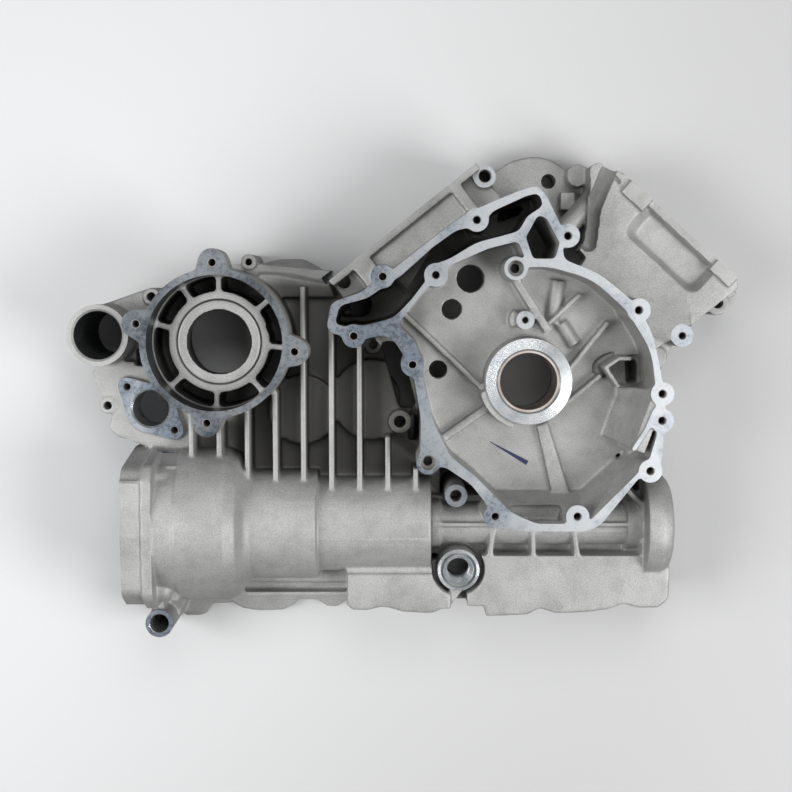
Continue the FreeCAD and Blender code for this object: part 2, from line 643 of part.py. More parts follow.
def tunnel_bores():
    """Stepped bore of the tunnel from the open bell to the seal seat at the far end."""
    profile = [
        (FLANGE_FACE_X - 1, BELL_BORE_R), (BELL_END_X - 8, BELL_BORE_R), (MID_START_X, MID_R - TUNNEL_WALL),
        (LONG_START_X, MID_R - TUNNEL_WALL), (LONG_START_X, LONG_R - TUNNEL_WALL),
        (THIN_START_X, LONG_R - TUNNEL_WALL),
    ]
    return [
        turned(profile, TUNNEL_Y, TUNNEL_Z),
        along_x(TUNNEL_Y, TUNNEL_Z, SHAFT_CLEAR_R, THIN_START_X - 1, END_FACE_X + 1),
        along_x(TUNNEL_Y, TUNNEL_Z, SEAL_SEAT_R, END_FACE_X - SEAL_SEAT_DEPTH, END_FACE_X + 1),
    ]


def flange_outline(grow):
    """Outline (y, z) of the bolted flange at the open end of the tunnel."""
    top = TUNNEL_Z + BELL_R + grow - FLANGE_DROP
    upper = TUNNEL_Y + FLANGE_UPPER_HALF + grow
    lower = TUNNEL_Y - FLANGE_LOWER_HALF - grow
    return [
        (upper, 0, 0), (upper, FLANGE_SHOULDER_Z, 12), (upper - 9, top - 8, 10), (upper - 18, top - 1, 8),
        (TUNNEL_Y, top + 1, 60), (lower + 11, top - 2, 10), (lower, top - 20, 12), (lower, 0, 0),
    ]


def tunnel_flange():
    """Stepped flange: a low spigot body in front and the bolted plate behind it."""
    parts = []
    steps = (
        (FLANGE_FACE_X, FLANGE_PLATE_X + 1, 0.0),
        (FLANGE_PLATE_X, FLANGE_PLATE_END_X, FLANGE_LIP),
    )
    for start, end, grow in steps:
        solid = Part.Face(outline(flange_outline(grow))).extrude(vec(0, 0, end - start))
        solid.Placement = FreeCAD.Placement(vec(start, 0, 0), FreeCAD.Rotation(vec(1, 1, 1), 120))
        parts.append(solid)
    for y in (TUNNEL_Y + 37.0, TUNNEL_Y - 42.5):
        parts.append(along_x(y, STUD_DOME_Z, STUD_DOME_R, FLANGE_PLATE_X, STUD_DOME_X))
        parts.append(Part.makeSphere(STUD_DOME_R, vec(STUD_DOME_X, y, STUD_DOME_Z)))
    pads = Part.Face(outline(flange_outline(-FLANGE_LIP))).extrude(vec(0, 0, BELL_START_X - FLANGE_PLATE_X))
    pads.Placement = FreeCAD.Placement(vec(FLANGE_PLATE_X, 0, 0), FreeCAD.Rotation(vec(1, 1, 1), 120))
    hollow = disc(FLANGE_SCOOP_X, TUNNEL_Y, BELL_R - BELL_STEP, -1, TUNNEL_Z + BELL_R)
    above = box(FLANGE_PLATE_X - 1, BELL_START_X + 1, -200, 0, STUD_DOME_Z, 200)
    return parts + [pads.cut([hollow, above])]


def mounting_lug():
    """Through lug under the flange, on a sloping arm."""
    parts = [disc(LUG_X, LUG_Y, LUG_R, 0, LUG_TOP_Z)]
    parts.append(prism([(-274, -158, 0), (-245, -158, 0), (-248, -166, 2), (-256, -185, 4),
                        (-273, -178, 0)], 8, LUG_TOP_Z - 22))
    parts.append(box(FLANGE_PLATE_X, FLANGE_PLATE_END_X, -178, -150, 0, LUG_TOP_Z - 4))
    return parts


def sump():
    parts = [prism(SUMP_LEFT_OUTLINE, 0, SUMP_TOP_Z), prism(SUMP_RIGHT_OUTLINE, 0, SUMP_TOP_Z)]
    parts.append(box(-60, -30, -163, -128, 0, SUMP_TOP_Z - 22))
    parts.append(box(-205, -126, -160, -135, 0, 34))
    parts.append(bar(-203, -159.5, -126, -159.5, 3.0, 0, 42))
    parts.append(box(-205, -126, -151, -140, 0, 44))
    for x0, y0, x1, y1, width in SUMP_RIBS:
        parts.append(bar(x0, y0, x1, y1, width, SUMP_FLOOR_Z - 2, SUMP_TOP_Z))
    parts.append(bar(-128, -137.2, -60, -137.2, 3.2, SUMP_TOP_Z - 5, SUMP_TOP_Z + 3))
    parts.append(disc(PORT_X, PORT_Y, PORT_RING_R, 0, PORT_FACE_Z))
    parts.append(disc(*SUMP_BOSS, SCREW_BOSS_R, 0, 72.0))
    return parts


def split_flange():
    """Rim of the split face with its bolt ears, as far as it stands proud of the walls."""
    rim = [
        (-254, -150, 0), (-254, -184, 3), (-242, -184, 4), (-236, -182, 3), (-232, -175, 4),
        (-216, -174, 5), (-209, -178.5, 4), (-197, -180.3, 8), (-178, -179.7, 6), (-170, -175.5, 4),
        (-166, -171.5, 2), (-152, -171.5, 3), (-145, -176.7, 5), (-137, -177.3, 5), (-129, -171.5, 3),
        (-120, -150, 0),
    ]
    right = [
        (80, 30, 0), (105, 6, 8), (114, 18, 6), (114, 38, 8), (130, 47, 8), (146, 46, 9),
        (152, 56, 3), (164, 60, 2), (150, 74, 3), (100, 100, 0),
    ]
    return [prism(rim, 0, SPLIT_FLANGE_Z), prism(right, 0, SPLIT_FLANGE_Z),
            disc(*RIGHT_LUG, 9.0, 0, 30.0), disc(*RIGHT_BOSS, SCREW_BOSS_R, 0, RIGHT_DECK_Z)]


def ramp(x0, y0, x1, y1, profile):
    """Sloping inside of a chamber wall between two points: profile points are (distance from the wall, z)."""
    run = vec(x1 - x0, y1 - y0)
    inward = vec(-run.y, run.x)
    inward.normalize()
    corners = [vec(x0, y0, z) + inward * inset for inset, z in profile]
    corners.append(vec(x0, y0, profile[-1][1]) - inward * WALL)
    corners.append(vec(x0, y0, profile[0][1]) - inward * WALL)
    corners.append(corners[0])
    return Part.Face(Part.makePolygon(corners)).extrude(run)


def chamber_cut():
    """Space of the magneto chamber: screw bosses stand in it, and its lower right wall slopes."""
    space = prism(CHAMBER_OUTLINE, CHAMBER_FLOOR_Z, COVER_FACE_Z + 1)
    low = CHAMBER_FLOOR_Z - 1
    high = COVER_FACE_Z - 2
    keep = [
        ramp(-24, -96.6, 50, -96.6, ((17.5, low), (0, high))),
        ramp(26, -106, 84, -53, ((10.4, low), (0, high))),
        ramp(72.0, -46.0, 83.8, -13.4, ((19, low), (11, CHAMBER_CREST_Z), (3, high))),
        ramp(83.8, -13.4, 82.8, -4.0, ((19, low), (9, CHAMBER_CREST_Z), (1, high))),
    ]
    for x, y in COVER_SCREWS + COVER_DOWELS:
        if y < CHAMBER_FOOT_Y:
            rise = COVER_FACE_Z - FOOT_BOSS_Z
            keep.append(Part.makeCone(1.0, SCREW_BOSS_R, rise, vec(x, y - SCREW_BOSS_R / 2, FOOT_BOSS_Z - 8)))
            keep.append(disc(x, y, SCREW_BOSS_R, COVER_FACE_Z - 8, COVER_FACE_Z + 2))
        else:
            keep.append(disc(x, y, SCREW_BOSS_R, CHAMBER_FLOOR_Z - 2, COVER_FACE_Z + 2))
    for x0, y0, x1, y1 in ((84, -18, 78.5, -31.5), (78.5, -31.5, 69.5, -45.5)):
        keep.append(bar(x0, y0, x1, y1, LIP_WIDTH, CHAMBER_FLOOR_Z - 2, COVER_FACE_Z + 2))
    return space.cut(keep)


def pocket_cuts():
    """Chain tunnel, the five-sided pocket, and the deep gaps beside the chamber."""
    tunnel = prism(TUNNEL_OUTLINE, TUNNEL_FLOOR_Z, COVER_FACE_Z + 1)
    bosses = [disc(x, y, SCREW_BOSS_R, 40, COVER_FACE_Z + 2) for x, y in COVER_SCREWS]
    cuts = [tunnel.cut(bosses)]
    for corners in TUNNEL_WELLS:
        cuts.append(prism(corners, -1, TUNNEL_FLOOR_Z + 1))
    cuts.append(prism(PENTAGON_OUTLINE, TOP_PLATE_Z + WALL, COVER_FACE_Z + 1))
    side = [(73.5, -49, 1), (81, -34, 1), (85, -35, 1), (84, -45, 2), (79, -53, 2)]
    cuts.append(prism(side, SPLIT_FLANGE_Z + 10, CHAMBER_FLOOR_Z + 1))
    cuts.append(prism([(-103.5, 27.5, 3), (-93.5, 27.5, 3), (-88, 19, 6), (-77, -22, 4), (-90, -22, 5)], 12,
                      LEFT_DECK_Z + 1))
    cuts.append(prism([(-84, -27, 3), (-77, -27, 3), (-75, -46, 3), (-84, -46, 4)], 12, 60))
    recess = [
        (47.6, 4, 3), (48.2, 11.5, 4), (53, 16.5, 4), (61, 19.5, 4), (69, 17.5, 2), (81.5, 17.5, 3),
        (82.5, -3.9, 2), (62, -3.9, 1), (56, 1, 2),
    ]
    cuts.append(prism(recess, CHAMBER_FLOOR_Z - 5, CHAMBER_FLOOR_Z + 1))
    cuts.append(prism([(71.5, 14, 2), (80, 14, 3), (80.5, -3, 2), (72.5, -3, 2)], 26, CHAMBER_FLOOR_Z + 1))
    well = [(-281.5, 20, 2), (-276.5, 23, 2), (-273.5, 8, 2), (-281, 9.5, 2)]
    cuts.append(prism(well, -1, LEFT_PLATE_Z + 1))
    slot = [(-13, -87.3, 3), (24, -87.3, 3), (24, -95.2, 3), (-13, -95.2, 3)]
    cuts.append(prism(slot, CHAMBER_SLOT_Z, COVER_FACE_Z - 1))
    cuts.append(box(-12, 23, -99.2, -93, CHAMBER_SLOT_Z, COVER_FACE_Z - 8))
    cuts += channel(((57.0, 147.0), (46.5, 121.0), (43.5, 96.0)), 5.5, RIGHT_DECK_Z - 6)
    cuts.append(prism([(25, 93, 2), (36, 93, 3), (42, 86, 3), (38, 80.5, 2), (26, 84.5, 2)], 34,
                      RIGHT_DECK_Z + 1))
    cuts.append(prism([(66, -53.7, 1), (72.9, -52.1, 1), (63.7, -59.1, 1)], 30, 90))
    cuts.append(prism([(76.6, -76.6, 1), (84.3, -71.6, 1), (84.6, -82.4, 1), (80.6, -81.6, 1)], 10,
                      SUMP_TOP_Z + 10))
    return cuts


def inner_cavities():
    """Spaces open to the split plane: crank chamber, gearbox, spigots, sump and the tunnel bores."""
    cuts = [disc(0, 0, CRANK_CHAMBER_R, -1, CHAMBER_FLOOR_Z - FLOOR_WALL)]
    cuts.append(prism(GEARBOX_CAVITY, -1, GEARBOX_TOP_Z - WALL))
    for degrees, deck in ((LEFT_AXIS_DEG, LEFT_DECK_DISTANCE), (RIGHT_AXIS_DEG, RIGHT_DECK_DISTANCE)):
        start = deck - SPIGOT_DEPTH - 30
        spigot = Part.makeCylinder(SPIGOT_R, deck - start + 1, vec(start, 0, 0), vec(1, 0, 0))
        cuts.append(cylinder_frame(spigot, degrees))
    chain = box(100, LEFT_DECK_DISTANCE + 1, -36, 30, SPIGOT_R + 5, LEFT_DECK_Z - 10)
    cuts.append(cylinder_frame(chain, LEFT_AXIS_DEG))
    for x0, x1, y0, y1, height in LOWER_BOXES:
        cuts.append(box(x0, x1, y0, y1, -1, height))
    for corners, height in LOWER_POCKETS:
        cuts.append(prism(corners, -1, height))
    return cuts + tunnel_bores()


def ribs_and_hubs():
    """What stands inside the cavities: hubs, fins, chamber ribs and raised spots."""
    hub_low = CHAMBER_FLOOR_Z - FLOOR_WALL - CRANK_HUB_LENGTH
    parts = [disc(0, 0, MAIN_BOSS_R, hub_low, MAIN_BOSS_Z)]
    lip = ring(0, 0, MAIN_BOSS_R + 4.2, MAIN_BOSS_R - 1, CHAMBER_FLOOR_Z - 1, MAIN_BOSS_Z - 3)
    sector = prism([(0, 0, 0), (-60, -14, 0), (-60, -60, 0), (-20, -60, 0)], 0, COVER_FACE_Z)
    parts.append(lip.common(sector))
    for x0, y0, x1, y1, width, height in CHAMBER_RIBS:
        parts.append(bar(x0, y0, x1, y1, width, CHAMBER_FLOOR_Z - 2, CHAMBER_FLOOR_Z + height))
    foot_rib = [(7.9, -33, 0), (15.6, -30, 0), (31.5, -80, 0), (19.0, -82, 0)]
    parts.append(prism(foot_rib, CHAMBER_FLOOR_Z - 2, CHAMBER_FLOOR_Z + 5))
    for i in range(3):
        x0, y0 = L_RIB[i]
        x1, y1 = L_RIB[i + 1]
        parts.append(bar(x0, y0, x1, y1, 2.6, CHAMBER_FLOOR_Z - 6, CHAMBER_FLOOR_Z + 20))
        parts.append(disc(x1, y1, 1.3, CHAMBER_FLOOR_Z - 6, CHAMBER_FLOOR_Z + 20))
    peg = Part.makeCylinder(3.0, 15.0, vec(65.5, -44.5, CHAMBER_FLOOR_Z + 8), vec(12.3, -7.2, 0))
    parts.append(peg)
    parts.append(disc(*CHAMBER_BOSS, 6.4, CHAMBER_FLOOR_Z - 2, MAIN_BOSS_Z - 4))
    crescent = ring(*CHAMBER_BOSS, 10.0, 6.0, CHAMBER_FLOOR_Z - 2, CHAMBER_FLOOR_Z + 9)
    parts.append(crescent.common(prism([(-2.4, 42.6, 0), (-20, 60, 0), (-20, 30, 0)], 0, 100)))
    for x, y, radius, half_length, degrees in CHAMBER_BULGES:
        parts.append(bulge(x, y, radius, half_length, degrees))
    for i, (upper, lower) in enumerate(FIN_ENDS):
        x = FIN_FIRST_X + i * FIN_PITCH
        parts.append(box(x - FIN_WIDTH / 2, x + FIN_WIDTH / 2, lower, upper, GEARBOX_TOP_Z - 2, FIN_TOP_Z))
    parts.append(disc(*WALL_BOSS_A, 6.2, GEARBOX_TOP_Z - 2, GEARBOX_BUMP_Z + 6))
    parts.append(disc(*WALL_BOSS_B, 8.4, GEARBOX_TOP_Z - 2, GEARBOX_BUMP_Z + 6))
    parts.append(disc(*HUMP_BOSS, 5.6, 0, LEFT_PLATE_Z))
    for n, t, radius, low, high in LEFT_DECK_RIBS:
        parts.append(cylinder_frame(box(n - 14, n, -t - radius, -t + radius, low, high), LEFT_AXIS_DEG))
    return parts + lower_hubs()


def bulge(x, y, radius, half_length, degrees):
    """Long swelling on the chamber floor, half sunk in it."""
    angle = math.radians(degrees)
    heading = vec(math.sin(angle), math.cos(angle))
    start = vec(x, y, CHAMBER_FLOOR_Z) - heading * half_length
    return Part.makeCylinder(radius, 2 * half_length, start, heading)


def lower_hubs():
    """Bearing hubs, stiffening ribs and case bolt pillars on the split side."""
    ceiling = GEARBOX_TOP_Z - WALL + 1
    parts = [disc(TOWER_X, TOWER_Y, TOWER_HUB_R, HUB_RECESS, ceiling)]
    parts.append(disc(BUMP_A_X, BUMP_A_Y, BUMP_A_R - 1, HUB_RECESS, ceiling))
    parts.append(disc(BUMP_B_X, BUMP_B_Y, BUMP_B_R - 9, HUB_RECESS, ceiling))
    parts.append(disc(PUMP_X, PUMP_Y, PUMP_RIM_R, PUMP_HUB_Z, LEFT_PLATE_Z - 2))
    parts.append(disc(TUBE_X, TUBE_Y, TUBE_BORE_R + TUBE_WALL, 0, ceiling))
    for x0, y0, x1, y1 in GEARBOX_RIBS:
        parts.append(bar(x0, y0, x1, y1, RIB_WIDTH, ceiling - 14, ceiling))
    for x, y in CASE_BOLTS:
        parts.append(disc(x, y, SCREW_BOSS_R, 0, ceiling))
    return parts


def port():
    """Stepped port of the oil gallery in its round recess, with the spout of the casting below it."""
    cuts = [ring(PORT_X, PORT_Y, PORT_RECESS_R, PORT_RING_R, SUMP_TOP_Z - 20, PORT_FACE_Z + 10)]
    return cuts


def port_spout():
    return [prism([(PORT_X - 6.0, -151.5, 0), (PORT_X + 4.5, -151.5, 0), (PORT_X - 5.0, -163.0, 0)],
                  SUMP_TOP_Z - 24, SUMP_TOP_Z - 4)]


def holes():
    """Bores and screw holes, cut last."""
    cuts = [disc(0, 0, JOURNAL_D / 2 + BUSH_WALL, -1, MAIN_BOSS_Z + 1)]
    seat = JOURNAL_D / 2 + BUSH_WALL
    cuts.append(Part.makeCone(seat, seat + 2 * BORE_CHAMFER, 2 * BORE_CHAMFER,
                              vec(0, 0, MAIN_BOSS_Z - BORE_CHAMFER)))
    for x, y in COVER_SCREWS:
        cuts.append(disc(x, y, SCREW_HOLE_R, COVER_FACE_Z - SCREW_DEPTH, COVER_FACE_Z + 1))
    for x, y in COVER_DOWELS:
        cuts.append(disc(x, y, DOWEL_R, COVER_FACE_Z - DOWEL_DEPTH, COVER_FACE_Z + 1))
        cuts.append(disc(x, y, SCREW_HOLE_R + 0.6, COVER_FACE_Z - SCREW_DEPTH, COVER_FACE_Z))
    for degrees in TOWER_LUG_DEG:
        x, y = tower_lug_place(degrees)
        cuts.append(disc(x, y, SCREW_HOLE_R, TOWER_FACE_Z - TOWER_LUG_HEIGHT - 1, TOWER_FACE_Z + 1))
    cuts.append(disc(TOWER_X, TOWER_Y, TOWER_SEAT_R, -1, TOWER_BEARING_DEPTH))
    cuts.append(disc(TOWER_X, TOWER_Y, TOWER_BORE_R, -1, TOWER_FACE_Z))
    cuts.append(disc(TUBE_X, TUBE_Y, TUBE_BORE_R, -1, TUBE_FACE_Z + 1))
    cuts.append(disc(PUMP_X, PUMP_Y, PUMP_BORE_R, -1, PUMP_FLANGE_Z + 1))
    cuts.append(disc(BUMP_A_X, BUMP_A_Y, BUMP_A_R - 6, -1, GEARBOX_BUMP_Z - WALL))
    cuts.append(disc(BUMP_B_X, BUMP_B_Y, BUMP_B_R - 14, -1, GEARBOX_BUMP_Z - WALL))
    for x, y in pump_ears():
        cuts.append(disc(x, y, SCREW_HOLE_R, PUMP_FLANGE_Z - SCREW_DEPTH, PUMP_FLANGE_Z + 1))
    for x, y, radius, low, high in PLAIN_HOLES:
        cuts.append(disc(x, y, radius, low, high))
    for x, y in CASE_BOLTS:
        cuts.append(disc(x, y, CASE_BOLT_R, -1, CASE_BOLT_DEPTH))
    cuts.append(disc(LUG_X, LUG_Y, LUG_BORE_R, -1, LUG_TOP_Z + 1))
    for degrees, deck in ((LEFT_AXIS_DEG, LEFT_DECK_DISTANCE), (RIGHT_AXIS_DEG, RIGHT_DECK_DISTANCE)):
        for side in (-STUD_OFFSET, STUD_OFFSET):
            stud = Part.makeCylinder(STUD_HOLE_R, STUD_DEPTH + 1, vec(deck - STUD_DEPTH, side, STUD_Z),
                                     vec(1, 0, 0))
            cuts.append(cylinder_frame(stud, degrees))
    cuts.append(disc(PORT_X, PORT_Y, PORT_THREAD_R, SUMP_TOP_Z - 30, PORT_FACE_Z + 1))
    cuts.append(ring(PORT_X, PORT_Y, 12.6, 11.0, PORT_FACE_Z - 4, PORT_FACE_Z + 1))
    cuts.append(Part.makeCone(PORT_THREAD_R, PORT_THREAD_R + 2.2, 2.4,
                              vec(PORT_X, PORT_Y, PORT_FACE_Z - 2.0)))
    return cuts + tunnel_bores()


def unified(shape):
    """The same solid with faces that share one surface joined into one."""
    merge = Part.ShapeUpgrade.UnifySameDomain(shape)
    merge.build()
    return merge.shape()


def casting():
    outer = magneto_housing() + gearbox_walls() + crank_case() + left_cylinder_body()
    outer += right_cylinder_body() + top_plate() + tower() + inlet_tube() + pump_flange()
    outer += shaft_tunnel() + tunnel_flange() + mounting_lug() + sump() + split_flange()
    body = outer[0].fuse(outer[1:])
    body = unified(body.cut(box(-400, 300, -300, 300, -60, 0)))
    body = body.cut(inner_cavities())
    body = unified(body.cut([chamber_cut()] + pocket_cuts() + tower_cavities() + port()))
    body = unified(body.fuse(ribs_and_hubs() + port_spout()))
    return unified(body.cut(holes()))


def main_bush():
    top = MAIN_BOSS_Z - BUSH_RECESS - 1.0
    return ring(0, 0, JOURNAL_D / 2 + BUSH_WALL, JOURNAL_D / 2, top - BUSH_LENGTH, top)


os.makedirs("parts", exist_ok=True)
casting().exportStep("parts/crankcase_casting.step")
main_bush().exportStep("parts/main_bearing_bush.step")
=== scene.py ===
import math

import bmesh
import bpy
import numpy as np
from mathutils import Matrix, Vector


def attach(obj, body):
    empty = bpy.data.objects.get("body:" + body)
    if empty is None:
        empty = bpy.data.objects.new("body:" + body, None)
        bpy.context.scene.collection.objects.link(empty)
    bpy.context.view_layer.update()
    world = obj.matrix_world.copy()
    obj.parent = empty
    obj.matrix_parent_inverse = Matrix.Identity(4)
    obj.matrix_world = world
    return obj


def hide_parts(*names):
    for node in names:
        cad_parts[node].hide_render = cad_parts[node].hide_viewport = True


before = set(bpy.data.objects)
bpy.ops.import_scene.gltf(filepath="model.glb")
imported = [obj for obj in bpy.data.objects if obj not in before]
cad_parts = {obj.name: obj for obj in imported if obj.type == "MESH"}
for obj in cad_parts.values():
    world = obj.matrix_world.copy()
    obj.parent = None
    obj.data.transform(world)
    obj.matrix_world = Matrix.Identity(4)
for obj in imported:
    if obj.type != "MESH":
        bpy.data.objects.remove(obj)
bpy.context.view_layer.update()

# The crankcase half as it lies on its split face, magneto side up. Its edges are softened as those of a
# die casting, and then every machined face, bore and hole is cut crisp. Sizes are in millimetres.

CASTING = "crankcase_casting"
BUSH = "main_bearing_bush"
MM = 0.001

# Kinds of surface, in the order of the casting's material slots; the third, sixth and seventh are painted
# shade
CAST, MILLED, SHADED_MILLED, TURNED, TURNED_PORT, SHADED_BORE, DEEP_SHADE = range(7)

# Magneto chamber and crankshaft bore
COVER_FACE_Z = 105.0
MAIN_BOSS_Z = 85.0
MAIN_BOSS_R = 30.3
MAIN_BORE_R = 21.5

# Gearbox tower
TOWER_FACE_Z = 100.0
TOWER_WEB_Z = 74.0
TOWER_X = -216.4
TOWER_Y = 27.2
TOWER_SEAT_R = 29.3
TOWER_RING_IN_R = 46.6
TOWER_LUG_CIRCLE_R = 55.0
TOWER_LUG_DEG = (91.0, 166.0, 264.0, 354.0)
TOWER_SCREW_DEPTH = 27.0

# Tube, two-eared pump face, oil port and through lug
TUBE_X = -300.3
TUBE_Y = 32.0
TUBE_BORE_R = 17.0
TUBE_FACE_Z = 80.0
PUMP_X = -268.6
PUMP_Y = -21.5
PUMP_BORE_R = 13.0
PUMP_EAR_SPAN = 23.0
PUMP_EAR_DEG = 137.0
PUMP_FACE_Z = 55.0
PORT_X = -47.7
PORT_Y = -136.3
PORT_FACE_Z = 69.0
PORT_BOTTOM_Z = 36.0
PORT_THREAD_R = 8.4
THREAD_LOW_Z = 49.0
THREAD_PITCH = 1.5
THREAD_TURNS = 11
LUG_X = -263.5
LUG_Y = -177.0
LUG_BORE_R = 6.8
LUG_TOP_Z = 62.0

# Cylinder decks and the ends of the shaft tunnel
LEFT_AXIS_DEG = 128.5
RIGHT_AXIS_DEG = 47.9
LEFT_DECK_DISTANCE = 141.5
RIGHT_DECK_DISTANCE = 153.0
FLANGE_FACE_X = -282.5
END_FACE_X = 105.5

# Screw, dowel and bolt holes
CASE_BOLT_R = 4.3
CASE_BOLT_DEPTH = 24.0
SCREW_HOLE_R = 2.6
SCREW_DEPTH = 22.0
SCREW_CHAMFER = 0.5
DOWEL_R = 5.2
DOWEL_DEPTH = 9.0
DOWEL_CORE_R = 3.2
COVER_SCREWS = (
    (-101.4, 72.6), (-37.9, 110.6), (-65.4, 73.7), (-121.0, 32.4), (-81.1, 12.9), (23.5, 99.9),
    (72.0, 49.9), (88.9, -6.9), (89.0, -25.2), (81.5, -59.8), (32.1, -91.3), (-24.3, -91.3),
)
COVER_DOWELS = ((-70.4, -54.2), (-11.4, 78.1))
CASE_BOLTS = (
    (-258.0, 52.0), (-197.0, 72.0), (-146.0, 66.0), (-88.0, 40.0), (-84.0, -70.0), (-208.0, -72.0),
    (-250.0, -50.0), (-62.0, -160.0), (10.0, -160.0), (94.0, -156.0), (94.0, -60.0), (98.0, 14.0),
)
# Holes in bosses with a machined top: x, y, radius, low end, top of the boss, radius of the boss
FACED_HOLES = (
    (-2.4, 42.6, 2.2, 66.0, 81.0, 6.4), (-49.7, -82.1, 4.1, 50.0, 72.0, 8.0),
    (-29.9, 143.1, 4.3, 30.0, 64.0, 8.0), (110.9, 31.0, 2.4, 40.0, 62.0, 8.0),
)
# Holes in cast bosses: x, y, radius, low end, top of the boss
CAST_HOLES = (
    (-267.4, 58.5, 3.4, 30.0, 52.0), (-197.9, 83.4, 2.6, 30.0, 50.0), (-300.4, -19.7, 3.1, 30.0, 51.0),
    (-108.8, 24.2, 3.2, 48.0, 54.0), (-89.5, -31.1, 4.4, 36.0, 54.0), (-129.1, 69.2, 4.5, 44.0, 48.0),
    (143.4, 53.8, 4.0, 0.6, 30.0), (19.1, 142.5, 5.4, 0.6, 24.0),
)
# Bores: x, y, radius, low end, machined top, chamfer, kind of surface
BORES = (
    (0.0, 0.0, MAIN_BORE_R, 29.0, MAIN_BOSS_Z, 1.2, TURNED),
    (TUBE_X, TUBE_Y, TUBE_BORE_R, -1.0, TUBE_FACE_Z, 1.4, SHADED_BORE),
    (PUMP_X, PUMP_Y, PUMP_BORE_R, 25.0, PUMP_FACE_Z, 1.2, TURNED),
    (LUG_X, LUG_Y, LUG_BORE_R, -1.0, LUG_TOP_Z, 0.8, TURNED),
)

# Outline of the chain tunnel
CHAIN_TUNNEL = (
    (-134, 40.5), (-130.5, 53), (-112, 58), (-88, 74), (-68, 92), (-50, 105), (-35, 105), (-28, 116),
    (-5, 126.5), (3.5, 128.5), (6.8, 120), (-4, 113), (-9.5, 103), (-22, 99.5), (-38, 95.5),
    (-56, 84.5), (-69, 80), (-72, 70), (-82, 57), (-94, 44.5), (-112, 40), (-127, 39),
)

# Pen stroke on the chamber floor
PEN_START = (-25.2, -44.8)
PEN_END = (1.8, -60.2)
PEN_WIDTH = 3.0

# How the casting is softened: machined faces are lifted and holes filled first, then all is cut back
VOXEL = 1.05
LIFT = 2.6
SMOOTH_STEPS = 2
TRIANGLE_LIMIT = 165000
PLUG_MARGIN = 0.7
PLUG_REACH = 0.6
PLUG_SINK = 0.2
CUT_HEIGHT = 6.0
BOSS_CUT_HEIGHT = 4.0
OVERSHOOT = 1.0
SHARP_DEG = 38


def direction(degrees):
    angle = math.radians(degrees)
    return Vector((math.cos(angle), math.sin(angle), 0.0))


def near(x, y, radius):
    return lambda p: math.hypot(p.x - x, p.y - y) < radius


UP = Vector((0, 0, 1))

# Machined planes: outward normal, distance from the origin, kind, and the region that they reach over
MACHINED_PLANES = (
    (UP, COVER_FACE_Z, MILLED, lambda p: p.x > -150),
    (UP, TOWER_FACE_Z, SHADED_MILLED, lambda p: p.x < -150),
    (UP, MAIN_BOSS_Z, TURNED, near(0, 0, MAIN_BOSS_R + 1.2)),
    (UP, TUBE_FACE_Z, CAST, near(TUBE_X, TUBE_Y, 22.5)),
    (UP, PUMP_FACE_Z, MILLED, near(PUMP_X, PUMP_Y, 33.0)),
    (UP, PORT_FACE_Z, TURNED_PORT, near(PORT_X, PORT_Y, 16.0)),
    (UP, LUG_TOP_Z, MILLED, near(LUG_X, LUG_Y, 11.0)),
    (direction(LEFT_AXIS_DEG), LEFT_DECK_DISTANCE, MILLED, lambda p: p.y > 0),
    (direction(RIGHT_AXIS_DEG), RIGHT_DECK_DISTANCE, MILLED, lambda p: p.y > 0),
    (Vector((-1, 0, 0)), -FLANGE_FACE_X, MILLED, lambda p: p.y < -40),
    (Vector((1, 0, 0)), END_FACE_X, MILLED, lambda p: p.y < -60 and p.z > 10),
    (-UP, 0.0, MILLED, lambda p: True),
) + tuple((UP, top, MILLED, near(x, y, boss + 0.1)) for x, y, hole, low, top, boss in FACED_HOLES)


def mesh_object(name, mesh):
    """New object of a bmesh given in millimetres."""
    data = bpy.data.meshes.new(name)
    bmesh.ops.scale(mesh, vec=(MM, MM, MM), verts=mesh.verts)
    bmesh.ops.recalc_face_normals(mesh, faces=mesh.faces)
    mesh.to_mesh(data)
    mesh.free()
    obj = bpy.data.objects.new(name, data)
    bpy.context.scene.collection.objects.link(obj)
    return obj


def add_turned(mesh, profile, x, y, segments=48):
    """Solid turned round an upright axis, added to a mesh: profile points are (radius, height)."""
    rings = []
    for radius, height in profile:
        ring = []
        for i in range(segments):
            angle = 2 * math.pi * i / segments
            local = Vector((radius * math.cos(angle), radius * math.sin(angle), height))
            ring.append(mesh.verts.new(Vector((x, y, 0)) + local))
        rings.append(ring)
    for lower, upper in zip(rings, rings[1:]):
        for i in range(segments):
            k = (i + 1) % segments
            mesh.faces.new((lower[i], lower[k], upper[k], upper[i]))
    mesh.faces.new(tuple(reversed(rings[0])))
    mesh.faces.new(tuple(rings[-1]))


def add_drill(mesh, x, y, radius, low, high, segments=32):
    add_turned(mesh, ((radius, low), (radius, high)), x, y, segments)


def add_block(mesh, low, high, degrees=0.0):
    """Box added to a mesh, turned round the crankshaft axis."""
    turn = Matrix.Rotation(math.radians(degrees), 3, "Z")
    made = bmesh.ops.create_cube(mesh, size=1.0)["verts"]
    low = Vector(low)
    high = Vector(high)
    for vert in made:
        local = Vector([low[i] + (vert.co[i] + 0.5) * (high[i] - low[i]) for i in range(3)])
        vert.co = turn @ local


def add_slab(mesh, x, y, half_length, half_width, degrees, low, high):
    """Box added to a mesh round a place, its length turned by an angle."""
    turn = Matrix.Rotation(math.radians(degrees), 3, "Z")
    made = bmesh.ops.create_cube(mesh, size=2.0)["verts"]
    for vert in made:
        local = Vector((vert.co.x * half_length, vert.co.y * half_width, 0))
        height = high if vert.co.z > 0 else low
        vert.co = Vector((x, y, height)) + turn @ local


